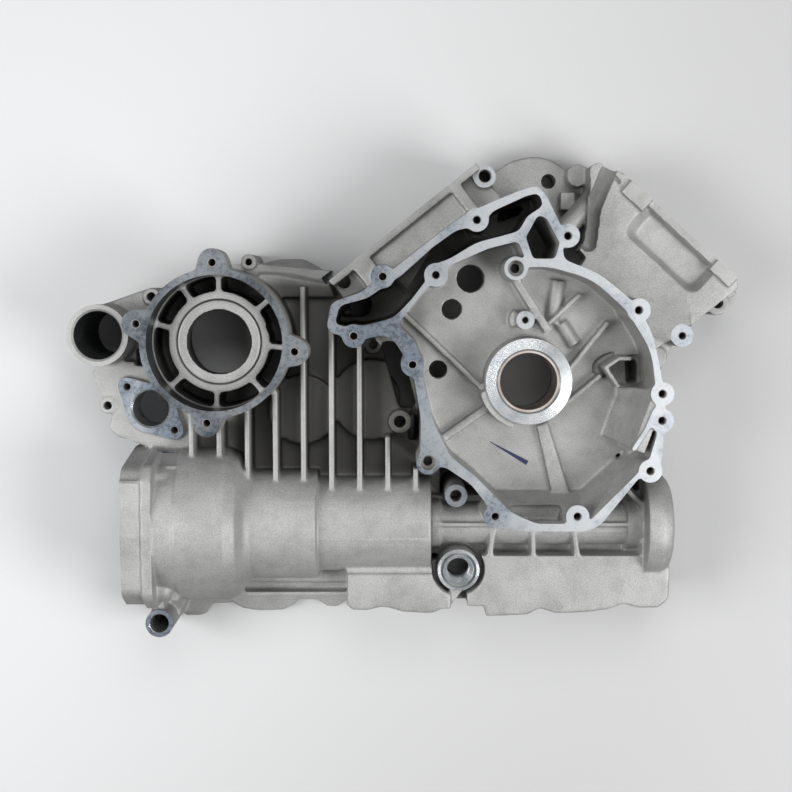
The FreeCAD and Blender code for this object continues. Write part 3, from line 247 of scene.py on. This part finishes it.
def small_holes():
    """Holes of the casting that are drilled again after the softening: x, y, radius, low, high."""
    holes = [(x, y, SCREW_HOLE_R, COVER_FACE_Z - SCREW_DEPTH, COVER_FACE_Z) for x, y in COVER_SCREWS]
    low = TOWER_FACE_Z - TOWER_SCREW_DEPTH
    for degrees in TOWER_LUG_DEG:
        spot = direction(degrees) * TOWER_LUG_CIRCLE_R
        holes.append((TOWER_X + spot.x, TOWER_Y + spot.y, SCREW_HOLE_R, low, TOWER_FACE_Z))
    low = PUMP_FACE_Z - SCREW_DEPTH
    for sign in (-1, 1):
        spot = direction(PUMP_EAR_DEG) * PUMP_EAR_SPAN * sign
        holes.append((PUMP_X + spot.x, PUMP_Y + spot.y, SCREW_HOLE_R, low, PUMP_FACE_Z))
    holes += [(x, y, CASE_BOLT_R, 0.0, CASE_BOLT_DEPTH) for x, y in CASE_BOLTS]
    holes += [(x, y, radius, low, top) for x, y, radius, low, top, boss in FACED_HOLES]
    return holes


def raw_casting():
    """The casting with its machined faces raised, and its holes and bores filled."""
    mesh = bmesh.new()
    mesh.from_mesh(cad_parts[CASTING].data)
    bmesh.ops.scale(mesh, vec=(1 / MM, 1 / MM, 1 / MM), verts=mesh.verts)
    bmesh.ops.remove_doubles(mesh, verts=mesh.verts, dist=0.002)
    moves = {}
    for vert in mesh.verts:
        for normal, distance, kind, region in MACHINED_PLANES:
            if abs(vert.co.dot(normal) - distance) < 0.03 and region(vert.co):
                moves.setdefault(vert, []).append(normal)
    for vert, normals in moves.items():
        for normal in normals:
            vert.co += normal * LIFT
    rise = LIFT - PLUG_SINK
    for x, y, radius, low, high in small_holes():
        add_drill(mesh, x, y, radius + PLUG_MARGIN, low - PLUG_REACH, high + rise, segments=20)
    for x, y, radius, low, high in CAST_HOLES:
        add_drill(mesh, x, y, radius + PLUG_MARGIN, low - PLUG_REACH, high - 0.3, segments=20)
    for x, y in COVER_DOWELS:
        low = COVER_FACE_Z - SCREW_DEPTH - PLUG_REACH
        add_drill(mesh, x, y, DOWEL_R + PLUG_MARGIN, low, COVER_FACE_Z + rise)
    for x, y, radius, low, high, chamfer, kind in BORES:
        add_drill(mesh, x, y, radius + PLUG_MARGIN, max(low, 0.0) + PLUG_REACH, high + rise, segments=64)
    add_drill(mesh, PORT_X, PORT_Y, PORT_THREAD_R + 5.0, PORT_BOTTOM_Z - PLUG_REACH, PORT_FACE_Z + rise,
              segments=64)
    return mesh_object("casting", mesh)


def apply_modifiers(obj):
    graph = bpy.context.evaluated_depsgraph_get()
    data = bpy.data.meshes.new_from_object(obj.evaluated_get(graph))
    obj.modifiers.clear()
    obj.data = data


def soften(obj):
    """Remesh with small voxels and smooth, which rounds every edge and corner as a die casting is."""
    remesh = obj.modifiers.new("voxels", "REMESH")
    remesh.mode = "VOXEL"
    remesh.voxel_size = VOXEL * MM
    smooth = obj.modifiers.new("soft", "SMOOTH")
    smooth.factor = 0.5
    smooth.iterations = SMOOTH_STEPS
    apply_modifiers(obj)
    faces = sum(len(p.vertices) - 2 for p in obj.data.polygons)
    reduce = obj.modifiers.new("fewer", "DECIMATE")
    reduce.ratio = min(1.0, TRIANGLE_LIMIT / faces)
    apply_modifiers(obj)


def cut(obj, mesh):
    """Take the closed, separate solids of a bmesh off an object."""
    tool = mesh_object("tool", mesh)
    step = obj.modifiers.new("cut", "BOOLEAN")
    step.operation = "DIFFERENCE"
    step.solver = "MANIFOLD"
    step.object = tool
    apply_modifiers(obj)
    bpy.data.objects.remove(tool)


def face_cuts():
    """Blocks that leave each machined face flat."""
    mesh = bmesh.new()
    add_block(mesh, (-150, -112, COVER_FACE_Z), (100, 142, COVER_FACE_Z + CUT_HEIGHT))
    add_block(mesh, (-290, -42, TOWER_FACE_Z), (-150.5, 97, TOWER_FACE_Z + CUT_HEIGHT))
    add_turned(mesh, ((22.6, TUBE_FACE_Z), (22.6, TUBE_FACE_Z + CUT_HEIGHT)), TUBE_X, TUBE_Y)
    deck = LEFT_DECK_DISTANCE
    add_block(mesh, (deck, -72, -6), (deck + CUT_HEIGHT, 70, 78), LEFT_AXIS_DEG)
    deck = RIGHT_DECK_DISTANCE
    add_block(mesh, (deck, -70, -6), (deck + CUT_HEIGHT, 66, 68), RIGHT_AXIS_DEG)
    add_block(mesh, (FLANGE_FACE_X - CUT_HEIGHT, -176, -6), (FLANGE_FACE_X, -44, 112))
    return mesh


def boss_cuts():
    """Blocks that leave the tops of the bosses and the split face flat."""
    mesh = bmesh.new()
    add_turned(mesh, ((33, MAIN_BOSS_Z), (33, MAIN_BOSS_Z + CUT_HEIGHT)), 0, 0, segments=96)
    add_turned(mesh, ((15.6, PORT_FACE_Z), (15.6, PORT_FACE_Z + CUT_HEIGHT)), PORT_X, PORT_Y)
    add_turned(mesh, ((11, LUG_TOP_Z), (11, LUG_TOP_Z + CUT_HEIGHT)), LUG_X, LUG_Y)
    for x, y, radius, low, top, boss in FACED_HOLES:
        add_turned(mesh, ((boss + 0.6, top), (boss + 0.6, top + BOSS_CUT_HEIGHT)), x, y)
    add_slab(mesh, PUMP_X, PUMP_Y, 34.0, 18.6, PUMP_EAR_DEG, PUMP_FACE_Z, PUMP_FACE_Z + CUT_HEIGHT)
    add_block(mesh, (-330, -200, -CUT_HEIGHT), (170, 170, 0))
    return mesh


def drilled(radius, low, high, chamfer):
    """Profile of a drilled hole with a chamfered mouth."""
    return (radius, low), (radius, high - chamfer), (radius + chamfer + OVERSHOOT, high + OVERSHOOT)


def port_profile():
    """Profile of the oil port's hole: thread rings, and a wide chamfer at the face."""
    profile = [(PORT_THREAD_R, PORT_BOTTOM_Z)]
    for k in range(THREAD_TURNS):
        height = THREAD_LOW_Z + THREAD_PITCH * k
        profile += [(PORT_THREAD_R - 0.35, height), (PORT_THREAD_R + 0.45, height + THREAD_PITCH / 2)]
    return profile + [(PORT_THREAD_R, PORT_FACE_Z - 2.4), (PORT_THREAD_R + 3.4, PORT_FACE_Z + OVERSHOOT)]


def hole_cuts():
    """Bores and screw holes."""
    mesh = bmesh.new()
    for x, y, radius, low, high in small_holes():
        add_turned(mesh, drilled(radius, low, high, SCREW_CHAMFER), x, y, segments=24)
    for x, y, radius, low, high in CAST_HOLES:
        add_drill(mesh, x, y, radius, low - 1.6, high + 1.5, segments=28)
    shoulder = COVER_FACE_Z - DOWEL_DEPTH
    core = ((DOWEL_CORE_R, COVER_FACE_Z - SCREW_DEPTH), (DOWEL_CORE_R, shoulder))
    for x, y in COVER_DOWELS:
        add_turned(mesh, core + drilled(DOWEL_R, shoulder, COVER_FACE_Z, SCREW_CHAMFER), x, y, segments=40)
    for x, y, radius, low, high, chamfer, kind in BORES:
        add_turned(mesh, drilled(radius, low, high, chamfer), x, y, segments=96)
    add_turned(mesh, port_profile(), PORT_X, PORT_Y, segments=64)
    return mesh


def add_groove(mesh, x, y, profile, segments=96):
    """Ring of a closed profile (radius, height) round an upright axis, added to a mesh."""
    rings = []
    for radius, height in profile:
        rings.append([
            mesh.verts.new((x + radius * math.cos(2 * math.pi * i / segments),
                            y + radius * math.sin(2 * math.pi * i / segments), height))
            for i in range(segments)
        ])
    count = len(profile)
    for k in range(count):
        lower = rings[k]
        upper = rings[(k + 1) % count]
        for i in range(segments):
            j = (i + 1) % segments
            mesh.faces.new((lower[i], lower[j], upper[j], upper[i]))


def groove_cuts():
    """Ring grooves: in the port's face, round the tower's seat and at the rim of the main boss."""
    mesh = bmesh.new()
    face = PORT_FACE_Z
    profile = ((11.2, face - 3.4), (12.6, face - 3.4), (12.9, face + 1), (10.9, face + 1))
    add_groove(mesh, PORT_X, PORT_Y, profile)
    web = TOWER_WEB_Z
    seat = TOWER_SEAT_R
    profile = ((seat - 0.2, web - 2.0), (seat + 0.9, web - 1.6), (seat + 1.4, web + 1), (seat - 0.7, web + 1))
    add_groove(mesh, TOWER_X, TOWER_Y, profile)
    face = MAIN_BOSS_Z
    rim = MAIN_BOSS_R
    profile = ((rim - 0.9, face + 0.6), (rim + 1.6, face - 1.9), (rim + 1.6, face + 0.6))
    add_groove(mesh, 0, 0, profile)
    return mesh


casting = raw_casting()
soften(casting)
cut(casting, face_cuts())
cut(casting, boss_cuts())
cut(casting, hole_cuts())
cut(casting, groove_cuts())
casting.name = "casting"


# Materials: tones, most as a dark and a light one

CAST_TONES = ((0.32, 0.322, 0.316), (0.41, 0.411, 0.404))
# Milled faces: the dark and light tones of a painted reflection
MILLED_TONES = ((0.24, 0.28, 0.33), (0.5, 0.52, 0.54))
# Painted shade: the tower's face is the milled aluminium again, only darker
SHADED_MILLED_TONES = ((0.1, 0.118, 0.135), (0.36, 0.39, 0.42))
TURNED_TONES = ((0.46, 0.49, 0.52), (0.64, 0.66, 0.67))
# Painted shade for the tube's bore and the inner wall of the tower's ring
BORE_SHADE_TONES = ((0.06, 0.063, 0.067), (0.14, 0.145, 0.15))
# Painted shade deep in the chain tunnel and below the tower's web
DEEP_SHADE_TONES = ((0.03, 0.03, 0.028), (0.085, 0.083, 0.078))
BUSH_TONES = ((0.56, 0.47, 0.42), (0.72, 0.67, 0.63))
# Painted shade for the low walls and floors between the fins
FIN_SHADE_TONE = (0.1, 0.098, 0.09)
INK_TONE = (0.02, 0.022, 0.075)
# Floor tones, left and right: the sweep between them is painted light falloff
FLOOR_TONES = ((0.56, 0.565, 0.57), (0.43, 0.43, 0.433))
FLOOR_BOUNCE = (0.22, 0.22, 0.22)


def principled(name):
    material = bpy.data.materials.new(name)
    material.use_nodes = True
    tree = material.node_tree
    return material, tree, tree.nodes["Principled BSDF"]


def noise(tree, scale, detail, vector, roughness=0.5):
    node = tree.nodes.new("ShaderNodeTexNoise")
    node.inputs["Scale"].default_value = scale
    node.inputs["Detail"].default_value = detail
    node.inputs["Roughness"].default_value = roughness
    tree.links.new(vector, node.inputs["Vector"])
    return node.outputs["Fac"]


def ramp(tree, value, stops):
    node = tree.nodes.new("ShaderNodeValToRGB")
    tree.links.new(value, node.inputs["Fac"])
    elements = node.color_ramp.elements
    while len(elements) < len(stops):
        elements.new(0.5)
    for element, (position, colour) in zip(elements, stops):
        element.position = position
        element.color = (*colour, 1.0)
    return node.outputs["Color"]


def grey(value):
    return (value, value, value)


def blend(tree, kind, amount, first, second):
    node = tree.nodes.new("ShaderNodeMix")
    node.data_type = "RGBA"
    node.blend_type = kind
    node.inputs["Factor"].default_value = amount
    tree.links.new(first, node.inputs["A"])
    tree.links.new(second, node.inputs["B"])
    return node.outputs["Result"]


def mix(tree, share, first, second):
    """Mix of two colours, each a socket or a plain colour, by a share."""
    node = tree.nodes.new("ShaderNodeMix")
    node.data_type = "RGBA"
    tree.links.new(share, node.inputs["Factor"])
    for name, colour in (("A", first), ("B", second)):
        if isinstance(colour, tuple):
            node.inputs[name].default_value = (*colour, 1.0)
        else:
            tree.links.new(colour, node.inputs[name])
    return node.outputs["Result"]


def object_coords(tree):
    return tree.nodes.new("ShaderNodeTexCoord").outputs["Object"]


def bump(tree, height, strength, distance):
    node = tree.nodes.new("ShaderNodeBump")
    node.inputs["Strength"].default_value = strength
    node.inputs["Distance"].default_value = distance
    tree.links.new(height, node.inputs["Height"])
    return node.outputs["Normal"]


def dot(tree, vector, x, y, z):
    node = tree.nodes.new("ShaderNodeVectorMath")
    node.operation = "DOT_PRODUCT"
    node.inputs[1].default_value = (x, y, z)
    tree.links.new(vector, node.inputs[0])
    return node.outputs["Value"]


def shifted(tree, vector, x, y, z):
    node = tree.nodes.new("ShaderNodeVectorMath")
    node.operation = "SUBTRACT"
    node.inputs[1].default_value = (x, y, z)
    tree.links.new(vector, node.inputs[0])
    return node.outputs["Vector"]


def maths(tree, operation, first, second):
    """Math node on two values, each a socket or a number."""
    node = tree.nodes.new("ShaderNodeMath")
    node.operation = operation
    for i, value in enumerate((first, second)):
        if isinstance(value, (int, float)):
            node.inputs[i].default_value = value
        else:
            tree.links.new(value, node.inputs[i])
    return node.outputs[0]


def between(tree, value, start, end, low=0.0, high=1.0):
    """Smooth step of a value between a start and an end."""
    node = tree.nodes.new("ShaderNodeMapRange")
    node.interpolation_type = "SMOOTHSTEP"
    node.inputs["From Min"].default_value = start
    node.inputs["From Max"].default_value = end
    node.inputs["To Min"].default_value = low
    node.inputs["To Max"].default_value = high
    tree.links.new(value, node.inputs["Value"])
    return node.outputs["Result"]


def painted_shade_between_fins(tree, coords):
    """Share of painted shade: full on the low walls and floors between the fins, where shade falls, none on
    the high edges.
    """
    x = dot(tree, coords, 1, 0, 0)
    y = dot(tree, coords, 0, 1, 0)
    z = dot(tree, coords, 0, 0, 1)
    share = between(tree, z, 74 * MM, 50 * MM)
    for value, start, end in ((x, -214, -206), (x, -66, -78), (y, -78, -66), (y, 74, 64)):
        share = maths(tree, "MULTIPLY", share, between(tree, value, start * MM, end * MM))
    return share


def pen_stroke(tree, coords):
    """Mask of the blue pen stroke on the chamber floor, thin at its start and wide at its end."""
    run = Vector(PEN_END) - Vector(PEN_START)
    along = run.normalized()
    local = shifted(tree, coords, PEN_START[0] * MM, PEN_START[1] * MM, 0)
    u = dot(tree, local, along.x, along.y, 0)
    v = maths(tree, "ABSOLUTE", dot(tree, local, -along.y, along.x, 0), 0)
    width = maths(tree, "MULTIPLY_ADD", u, PEN_WIDTH / 2 / run.length)
    width.node.inputs[2].default_value = 0.25 * MM
    mask = maths(tree, "LESS_THAN", v, width)
    mask = maths(tree, "MULTIPLY", mask, maths(tree, "GREATER_THAN", u, 0.0))
    mask = maths(tree, "MULTIPLY", mask, maths(tree, "LESS_THAN", u, run.length * MM))
    low = maths(tree, "LESS_THAN", dot(tree, coords, 0, 0, 1), 64 * MM)
    return maths(tree, "MULTIPLY", mask, low)


def cast_metal():
    """Blasted die-cast aluminium: matt light grey with a fine grain, stains, painted shade between the fins
    and the pen stroke.
    """
    material, tree, shader = principled("cast_aluminium")
    coords = object_coords(tree)
    grain = noise(tree, 1300, 3, coords, 0.7)
    cloud = noise(tree, 24, 4, coords)
    dark, light = CAST_TONES
    base = ramp(tree, cloud, ((0.3, dark), (0.7, light)))
    speck = ramp(tree, grain, ((0.36, grey(0.68)), (0.64, grey(1.0))))
    base = blend(tree, "MULTIPLY", 1.0, base, speck)
    stain = ramp(tree, noise(tree, 95, 5, coords, 0.65), ((0.34, grey(0.74)), (0.52, grey(1.0))))
    base = blend(tree, "MULTIPLY", 0.45, base, stain)
    # Painted shade darkens the low walls and floors between the fins
    base = mix(tree, painted_shade_between_fins(tree, coords), base, FIN_SHADE_TONE)
    base = mix(tree, pen_stroke(tree, coords), base, INK_TONE)
    tree.links.new(base, shader.inputs["Base Color"])
    shader.inputs["Metallic"].default_value = 0.3
    rough = ramp(tree, cloud, ((0.3, grey(0.48)), (0.7, grey(0.58))))
    tree.links.new(rough, shader.inputs["Roughness"])
    tree.links.new(bump(tree, grain, 0.4, 0.0004), shader.inputs["Normal"])
    return material


def machined_metal(name, tones, start, end, metallic, clean):
    """Milled face: its dark tone at one x turns to the light one at another, under fine dark specks; this
    sweep and its cloudy patches are a painted reflection of the lamps.
    """
    material, tree, shader = principled(name)
    coords = object_coords(tree)
    # Painted reflection: light where the face would mirror the lamps, dark where it would mirror dark
    # surroundings
    across = between(tree, dot(tree, coords, 1.0, 0.25, 0), start * MM, end * MM)
    cloud = between(tree, noise(tree, 26, 3, coords, 0.55), 0.32, 0.68, -0.55, 0.45)
    patch = maths(tree, "ADD", across, cloud)
    dark, light = tones
    base = ramp(tree, patch, ((0.0, dark), (1.0, light)))
    mottle = ramp(tree, noise(tree, 340, 5, coords, 0.75), ((0.4, grey(0.4)), (0.54, grey(1.0))))
    bare = ramp(tree, patch, ((0.1, grey(0.0)), (0.9, grey(clean))))
    mottle = blend(tree, "ADD", 1.0, mottle, bare)
    mottle.node.clamp_result = True
    tree.links.new(blend(tree, "MULTIPLY", 0.85, base, mottle), shader.inputs["Base Color"])
    shader.inputs["Metallic"].default_value = metallic
    shader.inputs["Roughness"].default_value = 0.3
    tree.links.new(bump(tree, noise(tree, 1400, 2, coords), 0.12, 0.0002), shader.inputs["Normal"])
    return material


def turned_metal(name, x, y):
    """Turned face with fine rings round an upright axis."""
    material, tree, shader = principled(name)
    coords = shifted(tree, object_coords(tree), x * MM, y * MM, 0)
    rings = tree.nodes.new("ShaderNodeTexWave")
    rings.wave_type = "RINGS"
    rings.rings_direction = "Z"
    rings.inputs["Scale"].default_value = 420
    rings.inputs["Distortion"].default_value = 0.8
    tree.links.new(coords, rings.inputs["Vector"])
    dark, light = TURNED_TONES
    base = ramp(tree, noise(tree, 60, 4, coords, 0.6), ((0.35, dark), (0.6, light)))
    tree.links.new(base, shader.inputs["Base Color"])
    shader.inputs["Metallic"].default_value = 0.85
    shader.inputs["Roughness"].default_value = 0.26
    tree.links.new(bump(tree, rings.outputs["Fac"], 0.3, 0.0002), shader.inputs["Normal"])
    return material


def deep_shade_metal():
    """Cast metal painted near black as shade, deep in the chain tunnel and below the tower's web."""
    material, tree, shader = principled("painted_shade_casting")
    coords = object_coords(tree)
    dark, light = DEEP_SHADE_TONES
    base = ramp(tree, noise(tree, 40, 4, coords), ((0.35, dark), (0.7, light)))
    tree.links.new(base, shader.inputs["Base Color"])
    shader.inputs["Metallic"].default_value = 0.3
    shader.inputs["Roughness"].default_value = 0.42
    tree.links.new(bump(tree, noise(tree, 1300, 3, coords, 0.7), 0.3, 0.0004), shader.inputs["Normal"])
    return material


def bush_metal():
    """Running layer of the bush: grey bearing metal with a faint copper tint."""
    material, tree, shader = principled("bearing_metal")
    dark, light = BUSH_TONES
    base = ramp(tree, noise(tree, 60, 3, object_coords(tree)), ((0.35, dark), (0.65, light)))
    tree.links.new(base, shader.inputs["Base Color"])
    shader.inputs["Metallic"].default_value = 0.95
    shader.inputs["Roughness"].default_value = 0.3
    return material


def in_outline(x, y, corners):
    """Whether each place lies inside a closed outline, by counting the sides crossed."""
    found = np.zeros(len(x), bool)
    for (x0, y0), (x1, y1) in zip(corners, corners[1:] + corners[:1]):
        if y0 != y1:
            crossed = ((y0 > y) != (y1 > y)) & (x < (x1 - x0) * (y - y0) / (y1 - y0) + x0)
            found ^= crossed
    return found


def surfaces(data):
    """Kind of surface of each polygon."""
    count = len(data.polygons)
    centres = np.zeros(count * 3)
    normals = np.zeros(count * 3)
    data.polygons.foreach_get("center", centres)
    data.polygons.foreach_get("normal", normals)
    centres = centres.reshape(-1, 3) / MM
    normals = normals.reshape(-1, 3)
    height = centres[:, 2]
    found = np.full(count, CAST, np.int32)
    for normal, distance, kind, region in MACHINED_PLANES:
        n = np.array(normal)
        flat = (np.abs(centres @ n - distance) < 0.02) & (normals @ n > 0.999)
        for i in np.nonzero(flat)[0]:
            if region(Vector(centres[i])):
                found[i] = kind
    rounds = [(x, y, radius, low, top, kind) for x, y, radius, low, top, chamfer, kind in BORES]
    rounds.append((PORT_X, PORT_Y, 12.0, PORT_FACE_Z - 22, PORT_FACE_Z, TURNED_PORT))
    # The inner wall of the tower's ring takes the painted shade of the bores
    rounds.append((TOWER_X, TOWER_Y, TOWER_RING_IN_R - 1.0, TOWER_WEB_Z + 5, TOWER_FACE_Z, SHADED_BORE))
    for x, y, radius, low, top, kind in rounds:
        reach = np.hypot(centres[:, 0] - x, centres[:, 1] - y)
        inside = (reach < radius + 1.6) & (height > low + 0.5) & (height < top + 0.1)
        upright = np.abs(normals[:, 2]) < (0.4 if kind == SHADED_BORE else 0.85)
        found[inside & upright & (found == CAST)] = kind
    # Faces deep in the chain tunnel and below the tower's web get painted shade
    ahead = centres + normals * 1.5
    deep_shade_faces = in_outline(ahead[:, 0], ahead[:, 1], CHAIN_TUNNEL) & (height < COVER_FACE_Z - 0.2)
    reach = np.hypot(centres[:, 0] - TOWER_X, centres[:, 1] - TOWER_Y)
    deep_shade_faces |= (reach < TOWER_RING_IN_R + 1.5) & (height < TOWER_WEB_Z - 1.5) & (height > 0.5)
    found[deep_shade_faces & (found == CAST)] = DEEP_SHADE
    return found


casting.data.materials.clear()
casting.data.materials.append(cast_metal())
casting.data.materials.append(machined_metal("milled_aluminium", MILLED_TONES, -120, 0, 0.7, 0.45))
casting.data.materials.append(machined_metal("shaded_milled_aluminium", SHADED_MILLED_TONES, -330, -100, 0.8, 0.15))
casting.data.materials.append(turned_metal("turned_aluminium", 0, 0))
casting.data.materials.append(turned_metal("turned_port", PORT_X, PORT_Y))
casting.data.materials.append(machined_metal("shaded_bore", BORE_SHADE_TONES, -350, -100, 0.5, 0.3))
casting.data.materials.append(deep_shade_metal())
casting.data.polygons.foreach_set("material_index", surfaces(casting.data))
casting.data.shade_smooth()
casting.data.set_sharp_from_angle(angle=math.radians(SHARP_DEG))
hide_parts(CASTING)
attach(casting, "root")

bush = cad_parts[BUSH]
bush.data.materials.clear()
bush.data.materials.append(bush_metal())


# Floor, light and camera

FLOOR_HALF = 3000
FLOOR_GAP = 0.2
AIM = Vector((-0.08, -0.02, 0.04))
# Lamps: name, place in metres, side of the square in metres, power
LAMPS = (
    ("left", (-1.0, -0.1, 1.0), 0.7, 15),
    ("right", (0.85, -0.35, 1.0), 0.7, 18),
    ("top", (0.0, 0.95, 1.5), 0.9, 11),
    ("overhead", (0.6, -0.1, 1.9), 1.0, 3.5),
)
WORLD_STRENGTH = 0.08
CAMERA_PLACE = (-0.09236, 0.06589, 1.0)
CAMERA_TILT = -0.0827
CAMERA_LENS = 60.05


def paper():
    """Pale matt backdrop, a little darker towards the right as painted light falloff, that throws back less
    light than is seen.
    """
    material, tree, shader = principled("paper")
    # Painted light falloff from the left side to the right
    across = between(tree, dot(tree, object_coords(tree), 1, -0.35, 0), -420 * MM, 220 * MM)
    left, right = FLOOR_TONES
    seen = ramp(tree, across, ((0.0, left), (1.0, right)))
    path = tree.nodes.new("ShaderNodeLightPath")
    tone = mix(tree, path.outputs["Is Camera Ray"], FLOOR_BOUNCE, seen)
    tree.links.new(tone, shader.inputs["Base Color"])
    shader.inputs["Roughness"].default_value = 0.95
    return material


def floor():
    mesh = bmesh.new()
    bmesh.ops.create_grid(mesh, x_segments=1, y_segments=1, size=FLOOR_HALF)
    obj = mesh_object("floor", mesh)
    obj.location.z = -FLOOR_GAP * MM
    obj.data.materials.append(paper())


def lamp(name, spot, side, power):
    light = bpy.data.lights.new(name, "AREA")
    light.shape = "SQUARE"
    light.size = side
    light.energy = power
    obj = bpy.data.objects.new(name, light)
    obj.location = spot
    obj.rotation_euler = (AIM - Vector(spot)).to_track_quat("-Z", "Y").to_euler()
    bpy.context.scene.collection.objects.link(obj)


floor()
for name, spot, side, power in LAMPS:
    lamp(name, spot, side, power)

world = bpy.data.worlds.new("world")
bpy.context.scene.world = world
world.use_nodes = True
world.node_tree.nodes["Background"].inputs["Color"].default_value = (1, 1, 1, 1)
world.node_tree.nodes["Background"].inputs["Strength"].default_value = WORLD_STRENGTH

camera = bpy.data.cameras.new("camera")
camera.lens = CAMERA_LENS
camera.sensor_width = 36.0
camera.clip_start = 0.01
camera.clip_end = 20.0
eye = bpy.data.objects.new("camera", camera)
eye.location = CAMERA_PLACE
eye.rotation_euler = (CAMERA_TILT, 0, 0)
bpy.context.scene.collection.objects.link(eye)
bpy.context.scene.camera = eye
bpy.context.scene.view_settings.view_transform = "Standard"
